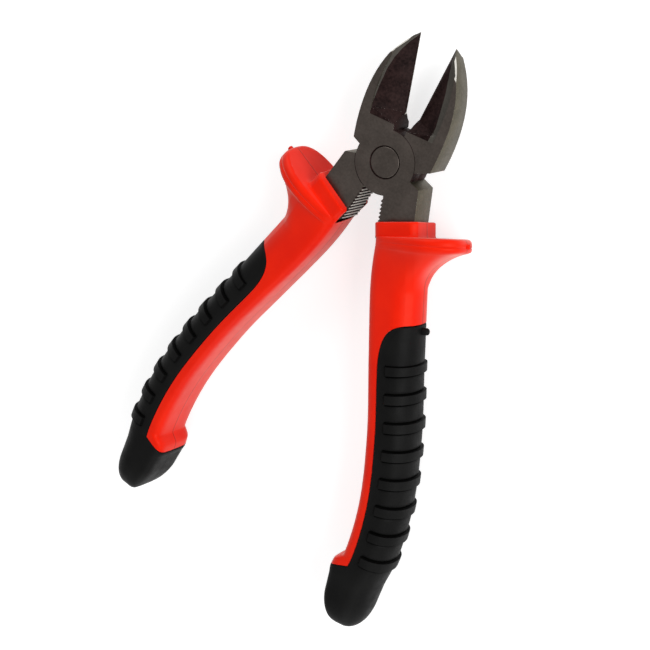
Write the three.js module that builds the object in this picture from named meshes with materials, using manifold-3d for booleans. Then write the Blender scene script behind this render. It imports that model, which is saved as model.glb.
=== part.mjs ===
// Side-cutting pliers: two forged levers in a riveted lap joint, with two-material handles.
// Millimetres. The tool lies flat: the pivot runs along +Z, the jaws point along +Y, and the
// origin is the centre of the rivet's back face. Each lever is drawn closed and then turned
// open about the pivot by half of the opening angle.

import * as THREE from 'three';
import { mergeVertices } from 'three/addons/utils/BufferGeometryUtils.js';
import Module from 'manifold-3d';

const wasm = await Module();
wasm.setup();

// Joint
const openingAngle = 18;
const headThickness = 8.6;
const discRadius = 8.7;
const discClearance = 0.15;
const lapGap = 0.1;

// Rivet
const rivetShaftRadius = 3.5;
const rivetHeadRadius = 4.35;
const rivetFlareHeight = 1.4;
const rivetClearance = 0.08;

// Jaws
const jawLength = 34.3;
const jawHalfWidth = 11.35;
const jawBellyReach = 9.4;
const jawBellyHeight = 26.6;
const jawRootHeight = 16.2;
const jawShoulderHeight = 4.5;
const jawShoulderCut = 3.5;
const jawShoulderDrop = 2.2;
const jawTipThickness = 6;
const jawLean = 3.2;
const jawShift = 1.15;
const noseShare = 0.25;
const noseHeight = 1.3;
const noseSlope = 0.9;
const edgeHeelHeight = 12.8;
const edgeGap = 0.1;
const edgeOffset = -0.8;
const throatRelief = 0.5;
const frontBevelWidth = 8;
const backBevelWidth = 2.6;
const bevelBow = 0.97;
const bevelBowHeight = 0.53;
const bevelStep = 0.4;
const bevelTipWidth = 1.5;
const bevelLedge = 0.5;
const bevelRunOut = 1.8;
const bevelRunOutLean = 1.3;
const edgeFacetWidth = 0.7;
const edgeFacetRise = 0.8;

// Shanks and tangs
const shankShoulderRise = 4.2;
const shankOuterReach = 11.2;
const shankShoulderCut = 2.8;
const shankInnerReach = 1.4;
const shankInnerFlare = 0.9;
const toothCount = 10;
const toothDepth = 0.55;
const toothShare = 0.7;
const toothTop = 9.3;
const toothEnd = 20;
const tangRootInner = 5.1;
const tangRootOuter = 3.5;
const tangEndHalfWidth = 1.9;
const tangThickness = 6.2;
const tangLength = 84;
const tangShoulder = 7.5;
const socketClearance = 0.3;

// Handles: the spine is the line that the handle sections are set on
const spinePoints = [
  [8.1, -14.2],
  [9.3, -19],
  [10.6, -28.5],
  [15.45, -50],
  [20.1, -70],
  [22.65, -89],
  [22.1, -104.5],
  [19.8, -115],
  [18.7, -127.4],
];
const collarHalfWidth = 6;
const collarHalfDepth = 6.5;
const collarHeight = 4;
const guardReach = 17.6;
const guardHalfDepth = 9.7;
const guardRim = 3.4;
const guardRound = 0.7;
const guardDroop = 0.1;
const guardFillet = 10;
const guardInnerStep = 0.6;
const collarInnerStep = 0.5;
const collarSlant = 0.13;
const collarLean = 0.07;
const guardFlushRun = 4;
const guardCoveSquare = 1.6;
const neckHalfWidth = 6.7;
const neckHalfDepth = 7.1;
const neckLength = 33;
const gripHalfWidth = 6.05;
const gripHalfDepth = 8.1;
const lipReach = 2;
const lipHeight = 2.2;
const lipSetback = 21.2;
const capLength = 12;
const capPower = 0.8;
const guardGateRadius = 0.75;
const guardGateLength = 1.4;
const gripGateRadius = 1;
const gripGateLength = 2.2;

// Soft grips
const gripWall = 2;
const gripTop = 26.5;
const seamOffset = 2.7;
const seamTurn = 12;
const seamShoulder = 4.2;
const seamDip = 0.6;
const seamBend = 3.5;
const seamLipDrop = 1.4;
const bondGap = 0.3;
const ribCount = 8;
const ribPitch = 7.65;
const ribWidth = 2.8;
const ribHeight = 0.6;
const ribSlope = 0.36;
const ribMargin = 2.6;
const firstRib = 38.6;

// Facet counts
const sectionSides = 28;
const coreSides = 16;
const roundSides = 64;

// Finishes
const darkSteel = { color: 0x46423d, roughness: 0.42, metalness: 0.9 };
const redPlastic = { color: 0xe02812, roughness: 0.34, metalness: 0 };
const blackRubber = { color: 0x1c1c1b, roughness: 0.62, metalness: 0 };

const halfThickness = headThickness / 2;
const reachPastEdges = 30;

// Solids from geometry and back

function toSolid(geometry) {
  const bare = new THREE.BufferGeometry();
  bare.setAttribute('position', geometry.getAttribute('position'));
  bare.setIndex(geometry.getIndex());
  const merged = mergeVertices(bare, 1e-4);
  const mesh = new wasm.Mesh({
    numProp: 3,
    vertProperties: new Float32Array(merged.getAttribute('position').array),
    triVerts: new Uint32Array(merged.getIndex().array),
  });
  return new wasm.Manifold(mesh);
}

function toGeometry(solid) {
  const mesh = solid.getMesh();
  const geometry = new THREE.BufferGeometry();
  geometry.setAttribute('position', new THREE.BufferAttribute(mesh.vertProperties.slice(), 3));
  geometry.setIndex(new THREE.BufferAttribute(mesh.triVerts.slice(), 1));
  return geometry;
}

// The mirror image across the plane x = 0, with its faces turned to point out again.
function mirrored(geometry) {
  const copy = geometry.clone();
  copy.scale(-1, 1, 1);
  const index = copy.getIndex();
  for (let i = 0; i < index.count; i += 3) {
    const second = index.getX(i + 1);
    index.setX(i + 1, index.getX(i + 2));
    index.setX(i + 2, second);
  }
  return copy;
}

// The same moulding turned over about the tool's long axis.
function turnedOver(geometry) {
  return geometry.clone().rotateY(Math.PI);
}

function shapeFrom(points) {
  return new THREE.Shape(points.map(([x, y]) => new THREE.Vector2(x, y)));
}

// A flat outline carried straight up from one height to another.
function plate(points, bottom, top) {
  const options = { depth: top - bottom, bevelEnabled: false, steps: 1 };
  const geometry = new THREE.ExtrudeGeometry(shapeFrom(points), options);
  geometry.translate(0, 0, bottom);
  return toSolid(geometry);
}

// A side profile of [y, z] points carried across the whole tool along X.
function sideProfile(points) {
  const options = { depth: 4 * reachPastEdges, bevelEnabled: false, steps: 1 };
  const geometry = new THREE.ExtrudeGeometry(shapeFrom(points), options);
  geometry.translate(0, 0, -2 * reachPastEdges);
  geometry.applyMatrix4(new THREE.Matrix4().set(0, 0, 1, 0, 1, 0, 0, 0, 0, 1, 0, 0, 0, 0, 0, 1));
  return toSolid(geometry);
}

function disc(radius, bottom, top) {
  const geometry = new THREE.CylinderGeometry(radius, radius, top - bottom, roundSides);
  geometry.rotateX(Math.PI / 2);
  geometry.translate(0, 0, (top + bottom) / 2);
  return toSolid(geometry);
}

// A closed skin through rings of equal point count, with a fan over each end.
function loft(rings) {
  const sides = rings[0].length;
  const points = rings.flat();
  const first = points.length;
  const centreOf = (ring) => ring
    .reduce((sum, point) => sum.add(point), new THREE.Vector3())
    .divideScalar(sides);
  points.push(centreOf(rings[0]), centreOf(rings[rings.length - 1]));
  const index = [];
  const lastRing = (rings.length - 1) * sides;
  for (let side = 0; side < sides; side += 1) {
    const next = (side + 1) % sides;
    for (let ring = 0; ring + 1 < rings.length; ring += 1) {
      const here = ring * sides;
      const there = here + sides;
      index.push(here + side, here + next, there + next);
      index.push(here + side, there + next, there + side);
    }
    index.push(first, next, side);
    index.push(first + 1, lastRing + side, lastRing + next);
  }
  const geometry = new THREE.BufferGeometry().setFromPoints(points);
  geometry.setIndex(index);
  return toSolid(geometry);
}

// Rivet: a shaft that flares to a flush head at both faces of the joint

function rivetProfile(clearance) {
  const end = halfThickness + (clearance > 0 ? 1 : 0);
  const shaft = rivetShaftRadius + clearance;
  const head = rivetHeadRadius + clearance;
  const flare = halfThickness - rivetFlareHeight;
  const profile = [[0, -end], [head, -end]];
  if (clearance > 0) profile.push([head, -halfThickness]);
  profile.push([shaft, -flare], [shaft, flare]);
  if (clearance > 0) profile.push([head, halfThickness]);
  profile.push([head, end], [0, end]);
  const outline = profile.map(([radius, height]) => new THREE.Vector2(radius, height));
  const geometry = new THREE.LatheGeometry(outline, roundSides);
  geometry.rotateX(Math.PI / 2);
  return toSolid(geometry);
}

// Jaws

const jawBack = new THREE.CubicBezierCurve(
  new THREE.Vector2(-edgeGap / 2, jawLength),
  new THREE.Vector2(-jawBellyReach, jawBellyHeight),
  new THREE.Vector2(-jawHalfWidth, jawRootHeight),
  new THREE.Vector2(-jawHalfWidth, jawShoulderHeight),
);

function jawOutline() {
  const curve = jawBack.getPoints(16).map((point) => [point.x, point.y]);
  return [
    ...curve,
    [-jawHalfWidth + jawShoulderCut, jawShoulderDrop],
    [0, 0],
    [-throatRelief, edgeHeelHeight - 3 * throatRelief],
    [-edgeGap / 2, edgeHeelHeight],
  ];
}

// Height of the tapering jaw face above the middle plane, at a distance from the pivot.
function jawFace(y) {
  const along = Math.max(0, y - discRadius) / (jawLength - discRadius);
  return halfThickness + (jawTipThickness / 2 - halfThickness) * along;
}

// What the taper takes off one face of the jaw: front is +1 and back is -1.
function taperCut(face) {
  const far = jawLength + halfThickness;
  return sideProfile([
    [discRadius, face * jawFace(discRadius)],
    [far, face * jawFace(far)],
    [far, face * headThickness],
    [discRadius, face * headThickness],
  ]);
}

// The nose: the jaw's outer front edge is ground down to a thin tip. The cut is a leaning block
// whose floor rises along the jaw's back and towards the edge.
function noseCut() {
  const tip = jawBack.getPoint(0);
  const end = jawBack.getPoint(noseShare);
  const low = edgeOffset + noseHeight;
  const along = end.clone().sub(tip);
  const climb = (jawFace(end.y) - low) / along.length();
  along.normalize();
  const size = 2 * reachPastEdges;
  const geometry = new THREE.BoxGeometry(size, size, size);
  geometry.translate(0, 0, size / 2);
  geometry.applyMatrix4(new THREE.Matrix4().set(
    along.x, -along.y, 0, tip.x,
    along.y, along.x, 0, tip.y,
    climb, noseSlope, 1, low,
    0, 0, 0, 1,
  ));
  return toSolid(geometry);
}

// The ground bevel that leaves the cutting edge. A small step bounds it; its floor falls from
// there to the edge, with a narrow honed facet along the edge and a run-out facet at the heel.
function bevelCut(face, width, edge) {
  const heel = edgeHeelHeight + bevelLedge;
  const border = new THREE.QuadraticBezierCurve(
    new THREE.Vector2(-bevelTipWidth, jawLength + bevelTipWidth),
    new THREE.Vector2(-width * bevelBow, heel + (jawLength - heel) * bevelBowHeight),
    new THREE.Vector2(-width, heel),
  );
  const past = 2;
  const ring = (y, x) => {
    const top = face * jawFace(y);
    const start = Math.min(x, -edgeFacetWidth - bevelStep);
    const rise = edge + face * edgeFacetRise;
    const floor = [[past, edge], [0, edge], [-edgeFacetWidth, rise], [start, top - face * bevelStep]];
    const wall = [[start, top + face * past], [past, top + face * past]];
    return [...floor, ...wall].map(([px, pz]) => new THREE.Vector3(px, y, pz));
  };
  const rings = border.getPoints(8).map((point) => ring(point.y, point.x));
  const runOut = ring(heel, -width).map((point) => {
    const y = heel - bevelRunOut - (1 + point.x / width) * bevelRunOutLean;
    const level = face * jawFace(y);
    const open = face * (point.z - level) > past / 2;
    return new THREE.Vector3(point.x, y, open ? level + face * past : level);
  });
  rings.push(runOut);
  return loft(face > 0 ? rings.reverse() : rings);
}

// The closed edges meet on a line that leans across the handles' middle from the right of the
// pivot to the left of it at the tip, so the left jaw and the mirrored right jaw lean opposite ways in their own drawings.
function jaw(layer) {
  const upright = plate(jawOutline(), -halfThickness, halfThickness)
    .subtract(taperCut(1))
    .subtract(taperCut(-1))
    .subtract(noseCut())
    .subtract(bevelCut(1, frontBevelWidth, edgeOffset))
    .subtract(bevelCut(-1, backBevelWidth, edgeOffset));
  const lean = THREE.MathUtils.degToRad(layer * jawLean);
  return toSolid(toGeometry(upright).rotateZ(lean).translate(layer * jawShift, 0, 0));
}

// Handle spine

const spine = new THREE.CatmullRomCurve3(
  spinePoints.map(([x, y]) => new THREE.Vector3(x, y, 0)),
);
spine.arcLengthDivisions = 800;
const spineLength = spine.getLength();

// A point on the spine and the direction across it, at a distance from the collar's top.
function spineAt(distance) {
  const share = THREE.MathUtils.clamp(distance / spineLength, 0, 1);
  const tangent = spine.getTangentAt(share);
  return {
    point: spine.getPointAt(share),
    along: tangent,
    across: new THREE.Vector3(-tangent.y, tangent.x, 0),
  };
}

// A point beside the spine: how far along it, how far across towards the outer side, how high.
function besideSpine(distance, across, height = 0) {
  const frame = spineAt(distance);
  return frame.point.clone()
    .addScaledVector(frame.across, across)
    .add(new THREE.Vector3(0, 0, height));
}

const flat = (point) => [point.x, point.y];

// Shanks and tangs: the steel below the joint, toothed on its inner edge and narrowing in
// the handle

function tangHalfWidth(root, distance) {
  const along = (distance - tangShoulder) / (tangLength - tangShoulder);
  return THREE.MathUtils.lerp(root, tangEndHalfWidth, along);
}

function tangSide(root, side, grow) {
  const steps = 9;
  const points = [];
  for (let step = 0; step <= steps; step += 1) {
    const distance = THREE.MathUtils.lerp(tangShoulder, tangLength, step / steps);
    const end = step === steps ? grow : 0;
    const across = side * (tangHalfWidth(root, distance) + grow);
    points.push(flat(besideSpine(distance + end, across)));
  }
  return points;
}

function shankInnerEdge(y) {
  const along = (-y - toothTop) / (toothEnd - toothTop);
  return shankInnerReach + shankInnerFlare * along;
}

function teeth() {
  const pitch = (toothEnd - toothTop) / toothCount;
  const points = [];
  for (let tooth = toothCount - 1; tooth >= 0; tooth -= 1) {
    const top = -toothTop - tooth * pitch;
    const low = top - pitch * toothShare;
    points.push([shankInnerEdge(low), low], [shankInnerEdge(top) + toothDepth, top]);
  }
  return points;
}

function shankOutline(grow) {
  const outer = tangSide(tangRootOuter, 1, grow);
  const inner = tangSide(tangRootInner, -1, grow).reverse();
  const window = [
    [shankInnerEdge(-toothEnd) - grow, -toothEnd - grow],
    [shankInnerEdge(-toothTop) - grow, -toothTop],
  ];
  return [
    [0, 0],
    [shankOuterReach - shankShoulderCut, -shankShoulderRise + shankShoulderCut / 2],
    [shankOuterReach + grow, -shankShoulderRise],
    ...outer,
    ...inner,
    ...(grow > 0 ? window : teeth()),
  ];
}

// Side view of the shank and tang: full thickness at the joint, thinner inside the handle.
function shankProfile(grow) {
  const thick = halfThickness + grow;
  const thin = tangThickness / 2 + grow;
  const collarEnd = flat(besideSpine(tangShoulder, 0))[1];
  const thinStart = flat(besideSpine(2 * tangShoulder, 0))[1];
  const far = flat(besideSpine(tangLength, 0))[1] - reachPastEdges;
  const side = [[reachPastEdges, thick], [collarEnd, thick], [thinStart, thin], [far, thin]];
  const under = side.map(([y, z]) => [y, -z]).reverse();
  return sideProfile([...side, ...under]);
}

function shank(grow) {
  const deep = halfThickness + grow;
  return plate(shankOutline(grow), -deep, deep).intersect(shankProfile(grow));
}

// Levers: jaw, disc and shank in one forging. The disc lies on one side of the lap plane, and
// the other side is cleared for the disc of the other lever.
function lever(layer) {
  const lap = lapGap / 2;
  const past = headThickness;
  const room = discRadius + discClearance;
  const front = layer > 0;
  const own = front ? disc(discRadius, lap, halfThickness) : disc(discRadius, -halfThickness, -lap);
  const other = front ? disc(room, -past, lap) : disc(room, -lap, past);
  return jaw(layer)
    .add(shank(0))
    .add(own)
    .subtract(other)
    .subtract(rivetProfile(rivetClearance));
}

// Handle sections: a superellipse beside the spine, rounder outside than inside

// Share of a section's depth that is left towards the inner side, where the guard comes flush
// with the collar.
function flushShare(section, across) {
  const run = 2 * section.inner + guardFlushRun;
  const share = THREE.MathUtils.clamp((across + section.inner) / run, 0, 1);
  return 1 - (section.flush ?? 0) * (1 - Math.sin((share * Math.PI) / 2));
}

function ring(section, sides) {
  const points = [];
  for (let side = 0; side < sides; side += 1) {
    const angle = (2 * Math.PI * side) / sides;
    const cosine = Math.cos(angle);
    const sine = Math.sin(angle);
    const outside = cosine > 0;
    const power = 2 / (outside ? section.outerPower : section.innerPower);
    const reach = outside ? section.outer : section.inner;
    const across = Math.sign(cosine) * Math.abs(cosine) ** power * reach;
    const full = Math.sign(sine) * Math.abs(sine) ** power * section.depth;
    const height = full * flushShare(section, across);
    const droop = outside ? (section.droop ?? 0) * (across / reach) ** 2 : 0;
    const leaned = (section.slant ?? 0) * height + (section.lean ?? 0) * across;
    const frame = spineAt(section.at);
    const point = frame.point.clone()
      .addScaledVector(frame.across, across)
      .addScaledVector(frame.along, droop - leaned);
    points.push(point.setZ(height));
  }
  return points;
}

const sectionStep = 0.05;
const boxy = { innerPower: 8, outerPower: 8 };
const oval = { innerPower: 6, outerPower: 2.2 };
const guardOval = { innerPower: 6, outerPower: 2.9 };

function collarSections() {
  const width = { inner: collarHalfWidth + collarInnerStep, outer: collarHalfWidth };
  const leaning = { slant: collarSlant, lean: collarLean };
  const section = { ...boxy, ...width, ...leaning, depth: collarHalfDepth };
  return [{ ...section, at: 0 }, { ...section, at: collarHeight - sectionStep }];
}

// The thumb guard leans with the collar, its front and outer edges nearer to the jaws: a rim
// around the front, outside and back of the handle, which draws in to the neck along a hollow
// curve.
function guardSections() {
  const inner = collarHalfWidth + guardInnerStep;
  const rimEnd = collarHeight + guardRim;
  const flush = 1 - collarHalfDepth / guardHalfDepth;
  const leaning = { ...guardOval, flush, slant: collarSlant, lean: collarLean };
  const rim = { ...leaning, inner, outer: guardReach, depth: guardHalfDepth };
  const top = { ...rim, outer: guardReach - guardRound, depth: guardHalfDepth - guardRound };
  const sections = [
    { ...top, at: collarHeight, droop: guardDroop },
    { ...rim, at: collarHeight + guardRound, droop: guardDroop },
    { ...rim, at: rimEnd },
  ];
  const steps = 6;
  for (let step = 1; step <= steps; step += 1) {
    const turn = (step / steps) * (Math.PI / 2);
    const drawn = 1 - Math.sin(turn);
    const share = step / steps;
    sections.push({
      at: rimEnd + guardFillet * (1 - Math.cos(turn)),
      inner: THREE.MathUtils.lerp(inner, neckHalfWidth, share),
      outer: neckHalfWidth + (guardReach - neckHalfWidth) * drawn,
      depth: neckHalfDepth + (guardHalfDepth - neckHalfDepth) * drawn,
      innerPower: THREE.MathUtils.lerp(guardOval.innerPower, oval.innerPower, share),
      outerPower: THREE.MathUtils.lerp(guardOval.outerPower, oval.outerPower, share)
        + guardCoveSquare * Math.sin(Math.PI * share),
      flush: flush * (1 - share),
      slant: collarSlant * (1 - share),
      lean: collarLean * (1 - share),
    });
  }
  return sections;
}

// The grip swells from the neck to its full depth, steps in to the end lip and rounds off.
function gripSections() {
  const neckEnd = collarHeight + guardRim + guardFillet;
  const lip = spineLength - lipSetback;
  const capStart = spineLength - capLength;
  const full = { ...oval, inner: gripHalfWidth, outer: gripHalfWidth, depth: gripHalfDepth };
  const wide = { ...full, inner: gripHalfWidth + lipReach };
  const sections = [];
  const swell = 5;
  for (let step = 1; step <= swell; step += 1) {
    const share = step / swell;
    const eased = THREE.MathUtils.smoothstep(share, 0, 1);
    const width = THREE.MathUtils.lerp(neckHalfWidth, gripHalfWidth, eased);
    const depth = THREE.MathUtils.lerp(neckHalfDepth, gripHalfDepth, eased);
    const at = THREE.MathUtils.lerp(neckEnd, neckEnd + neckLength, share);
    sections.push({ ...full, inner: width, outer: width, depth, at });
  }
  const bodyStart = sections[sections.length - 1].at;
  const body = 5;
  for (let step = 1; step <= body; step += 1) {
    sections.push({ ...full, at: THREE.MathUtils.lerp(bodyStart, lip, step / body) });
  }
  sections.push({ ...wide, at: lip + lipHeight });
  const cap = 7;
  for (let step = 0; step <= cap; step += 1) {
    const turn = (step / (cap + 1)) * (Math.PI / 2);
    const size = Math.cos(turn) ** capPower;
    const inner = THREE.MathUtils.lerp(wide.inner, gripHalfWidth, step / cap);
    sections.push({
      ...full,
      inner: inner * size,
      outer: gripHalfWidth * size,
      depth: gripHalfDepth * size,
      at: THREE.MathUtils.lerp(capStart, spineLength, Math.sin(turn)),
    });
  }
  return sections;
}

const handleSections = [...collarSections(), ...guardSections(), ...gripSections()];

function envelope() {
  return loft(handleSections.map((section) => ring(section, sectionSides)));
}

// The sleeve's core under the soft grip: the grip's sections less its wall.
function core(grow) {
  const last = spineLength - capLength + gripWall;
  const wall = gripWall - grow;
  const start = collarHeight + guardRim + guardFillet;
  const inside = gripSections().filter((section) => section.at < last && section.at > start);
  const shrunk = inside.map((section) => ({
    ...section,
    inner: section.inner - wall,
    outer: section.outer - wall,
    depth: section.depth - wall,
  }));
  const end = { ...shrunk[shrunk.length - 1] };
  shrunk[shrunk.length - 1] = { ...end, at: end.at + grow };
  return loft(shrunk.map((section) => ring(section, coreSides)));
}

// The line between the two materials, in plan: across the handle in a curve at the top, along
// the handle at a fixed distance from the spine, and out under the lip.
function seamLine() {
  const turnEnd = gripTop + seamTurn;
  const lipLine = spineLength - lipSetback + lipHeight;
  const start = besideSpine(gripTop - seamDip, 2 * gripHalfWidth);
  const shoulder = besideSpine(gripTop, seamShoulder);
  const crest = besideSpine(gripTop + seamDip, 0);
  const bend = besideSpine(gripTop + seamBend, -seamOffset);
  const foot = besideSpine(turnEnd, -seamOffset);
  const turn = new THREE.CubicBezierCurve3(shoulder, crest, bend, foot);
  const points = [start, ...turn.getPoints(10)];
  const steps = 8;
  for (let step = 1; step <= steps; step += 1) {
    const distance = THREE.MathUtils.lerp(turnEnd, lipLine, step / steps);
    points.push(besideSpine(distance, -seamOffset));
  }
  points.push(besideSpine(lipLine + seamLipDrop, -gripHalfWidth - lipReach));
  points.push(besideSpine(lipLine + 2 * seamLipDrop, -3 * gripHalfWidth));
  return points.map((point) => new THREE.Vector2(point.x, point.y));
}

// The plan region of the soft grip, its seam line set back into the grip by a distance.
function gripRegion(setback) {
  const line = seamLine();
  const moved = line.map((point, at) => {
    const before = line[Math.max(0, at - 1)];
    const after = line[Math.min(line.length - 1, at + 1)];
    const direction = after.clone().sub(before).normalize();
    return [point.x - direction.y * setback, point.y + direction.x * setback];
  });
  const end = flat(besideSpine(spineLength, 0));
  const low = end[1] - reachPastEdges;
  const corners = [[end[0] - 3 * reachPastEdges, low], [end[0] + 3 * reachPastEdges, low]];
  const high = [end[0] + 3 * reachPastEdges, moved[0][1] + reachPastEdges / 2];
  return plate([...moved, ...corners, high], -reachPastEdges, reachPastEdges);
}

// One rib: a slice of the handle, stood proud of it, that stops short of the seam.
function rib(number) {
  const middle = firstRib + number * ribPitch;
  const near = handleSections.filter((section) => section.at <= middle).pop();
  const proud = (distance, height) => ring({
    ...near,
    inner: near.inner + height,
    outer: near.outer + height,
    depth: near.depth + height,
    at: distance,
  }, sectionSides);
  const half = ribWidth / 2;
  return loft([
    proud(middle - half, -ribHeight / 2),
    proud(middle - half + ribSlope, ribHeight),
    proud(middle + half - ribSlope, ribHeight),
    proud(middle + half, -ribHeight / 2),
  ]);
}

// A moulding gate left as a small round nub on the outer side.
function gate(distance, across, radius, length) {
  const geometry = new THREE.CylinderGeometry(radius, radius, 2 * length, 12);
  const frame = spineAt(distance);
  const turn = new THREE.Quaternion().setFromUnitVectors(new THREE.Vector3(0, 1, 0), frame.across);
  geometry.applyQuaternion(turn);
  const place = besideSpine(distance, across);
  geometry.translate(place.x, place.y, 0);
  return toSolid(geometry);
}

function sleeve() {
  const windowLow = besideSpine(tangShoulder, 0).x;
  const toothWindow = plate([
    [windowLow - reachPastEdges, -toothEnd - socketClearance],
    [shankInnerEdge(-toothEnd) + toothDepth, -toothEnd - socketClearance],
    [shankInnerEdge(-toothTop) + toothDepth, 0],
    [windowLow - reachPastEdges, 0],
  ], -halfThickness - socketClearance, halfThickness + socketClearance);
  return envelope()
    .add(gate(collarHeight + guardRim / 2, guardReach, guardGateRadius, guardGateLength))
    .subtract(gripRegion(-bondGap / 2))
    .add(core(0))
    .subtract(shank(socketClearance))
    .subtract(toothWindow);
}

function grip() {
  let body = envelope().intersect(gripRegion(bondGap / 2));
  const ribRegion = gripRegion(ribMargin);
  for (let number = 0; number < ribCount; number += 1) {
    body = body.add(rib(number).intersect(ribRegion));
  }
  return body
    .add(gate(gripTop + 2 * gripGateRadius, gripHalfWidth, gripGateRadius, gripGateLength))
    .subtract(core(bondGap));
}

// Assembly

function node(name, geometry, finish) {
  const mesh = new THREE.Mesh(geometry, new THREE.MeshStandardMaterial(finish));
  mesh.name = name;
  return mesh;
}

const sleeveGeometry = toGeometry(sleeve());
const gripGeometry = toGeometry(grip());
const halfOpening = THREE.MathUtils.degToRad(openingAngle / 2);

const frontSide = new THREE.Group();
frontSide.rotation.z = halfOpening;
frontSide.add(
  node('front_lever', toGeometry(lever(1)), darkSteel),
  node('pivot_rivet', toGeometry(rivetProfile(0)), darkSteel),
  node('right_sleeve', sleeveGeometry, redPlastic),
  node('right_grip', gripGeometry, blackRubber),
);

const backSide = new THREE.Group();
backSide.rotation.z = -halfOpening;
backSide.add(
  node('back_lever', mirrored(toGeometry(lever(-1))), darkSteel),
  node('left_sleeve', turnedOver(sleeveGeometry), redPlastic),
  node('left_grip', turnedOver(gripGeometry), blackRubber),
);

const pliers = new THREE.Group();
pliers.position.z = halfThickness;
pliers.add(frontSide, backSide);

export default pliers;
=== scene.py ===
"""Side-cutting pliers dressed for the studio: forged levers, moulded sleeves and soft grips.

Lengths in the drawings are millimetres in the tool's closed drawing: the pivot at the origin,
the jaws along +Y and the drawn handle on +X. Each side is then turned open and set on its body.
"""

import logging
import math
from collections.abc import Iterable, Sequence
from dataclasses import dataclass, field, fields, replace
from enum import Enum

import bmesh
import bpy
from mathutils import Matrix, Vector


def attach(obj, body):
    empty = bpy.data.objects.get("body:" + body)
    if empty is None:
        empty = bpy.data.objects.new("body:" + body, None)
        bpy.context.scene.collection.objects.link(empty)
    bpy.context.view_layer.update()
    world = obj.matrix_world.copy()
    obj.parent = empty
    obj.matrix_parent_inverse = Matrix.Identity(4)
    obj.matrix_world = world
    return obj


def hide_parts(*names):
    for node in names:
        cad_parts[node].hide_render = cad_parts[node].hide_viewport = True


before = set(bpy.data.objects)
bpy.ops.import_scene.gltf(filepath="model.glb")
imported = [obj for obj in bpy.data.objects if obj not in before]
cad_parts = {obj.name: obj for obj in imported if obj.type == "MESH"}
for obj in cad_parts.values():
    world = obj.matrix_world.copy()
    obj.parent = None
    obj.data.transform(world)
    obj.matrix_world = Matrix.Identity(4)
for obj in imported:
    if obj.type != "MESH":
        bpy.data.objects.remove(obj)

LOG = logging.getLogger("pliers")
MM = 0.001
PIVOT_HEIGHT = 4.3
HALF_OPENING = math.radians(9)
MERGE = 1e-6
UPWARD = Vector((0, 0, 1))

Colour = tuple[float, float, float]
Span = tuple[float, float]
Socket = bpy.types.NodeSocket
Row = Sequence[bmesh.types.BMVert]


def clamped(value: float) -> float:
    """Returns a value held between 0 and 1."""
    return min(1.0, max(0.0, value))


def eased(value: float) -> float:
    """Returns a value held between 0 and 1, with a soft start and a soft end."""
    share = clamped(value)
    return share * share * (3 - 2 * share)


def make_piece(
    mesh: bmesh.types.BMesh, name: str, materials: Iterable[bpy.types.Material], crease: float
) -> bpy.types.Object:
    """Turns a finished mesh into an object of the scene.

    Args:
        mesh: The mesh, which is freed.
        name: The object's name.
        materials: Its materials, by the faces' numbers.
        crease: The angle from which an edge is shaded sharp, in degrees.

    Returns:
        The object, at the origin.
    """
    data = bpy.data.meshes.new(name)
    mesh.to_mesh(data)
    mesh.free()
    data.shade_smooth()
    data.set_sharp_from_angle(angle=math.radians(crease))
    for material in materials:
        data.materials.append(material)
    piece = bpy.data.objects.new(name, data)
    bpy.context.scene.collection.objects.link(piece)
    return piece


def turn_profile(
    mesh: bmesh.types.BMesh, profile: Row, centre: Vector, axis: Vector, sides: int
) -> None:
    """Turns a profile all the way about an axis.

    Args:
        mesh: The mesh that the profile is in.
        profile: The profile's vertices, from end to end.
        centre: A place on the axis.
        axis: The axis's direction.
        sides: How many steps the turn has.
    """
    edges = [mesh.edges.new(pair) for pair in zip(profile, profile[1:])]
    bmesh.ops.spin(
        mesh,
        geom=[*profile, *edges],
        cent=centre,
        axis=axis,
        angle=2 * math.pi,
        steps=sides,
        use_merge=True,
    )
    # The operator's order changes from run to run, so its edges and faces are put in a set one.
    mesh.verts.index_update()
    count = len(mesh.verts)

    def order(part: bmesh.types.BMEdge | bmesh.types.BMFace) -> int:
        """Returns a number that is made of the part's first and last vertex."""
        places = [vertex.index for vertex in part.verts]
        return min(places) * count + max(places)

    mesh.edges.sort(key=order)
    mesh.faces.sort(key=order)


class Side(Enum):
    """The two halves of the tool, by the side that their handle is on."""

    RIGHT = 1
    LEFT = -1

    @property
    def body(self) -> str:
        """Returns the name of the body that this half rides on."""
        return "front_half" if self is Side.RIGHT else "back_half"

    @property
    def label(self) -> str:
        """Returns the word that starts the names of this half's handle pieces."""
        return "right" if self is Side.RIGHT else "left"

    @property
    def lever(self) -> str:
        """Returns the name of the lever that this half's handle sits on."""
        return "front_lever" if self is Side.RIGHT else "back_lever"

    @property
    def turn(self) -> Matrix:
        """Returns the turn that opens this half from closed to its place at rest."""
        return Matrix.Rotation(HALF_OPENING * self.value, 3, "Z")

    def place(self, point: Vector) -> Vector:
        """Takes a drawn point to its place at rest.

        Args:
            point: The point in the closed drawing, in millimetres.

        Returns:
            The point in the tool's frame, in metres.
        """
        turned = self.turn @ Vector((point.x * self.value, point.y, point.z * self.value))
        turned.z += PIVOT_HEIGHT
        return turned * MM

    def closed(self, place: Vector) -> Vector:
        """Takes a place at rest back to the closed tool.

        Args:
            place: The place in the tool's frame, in metres.

        Returns:
            The place in the closed tool, in millimetres.
        """
        return self.turn.transposed() @ place / MM


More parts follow.
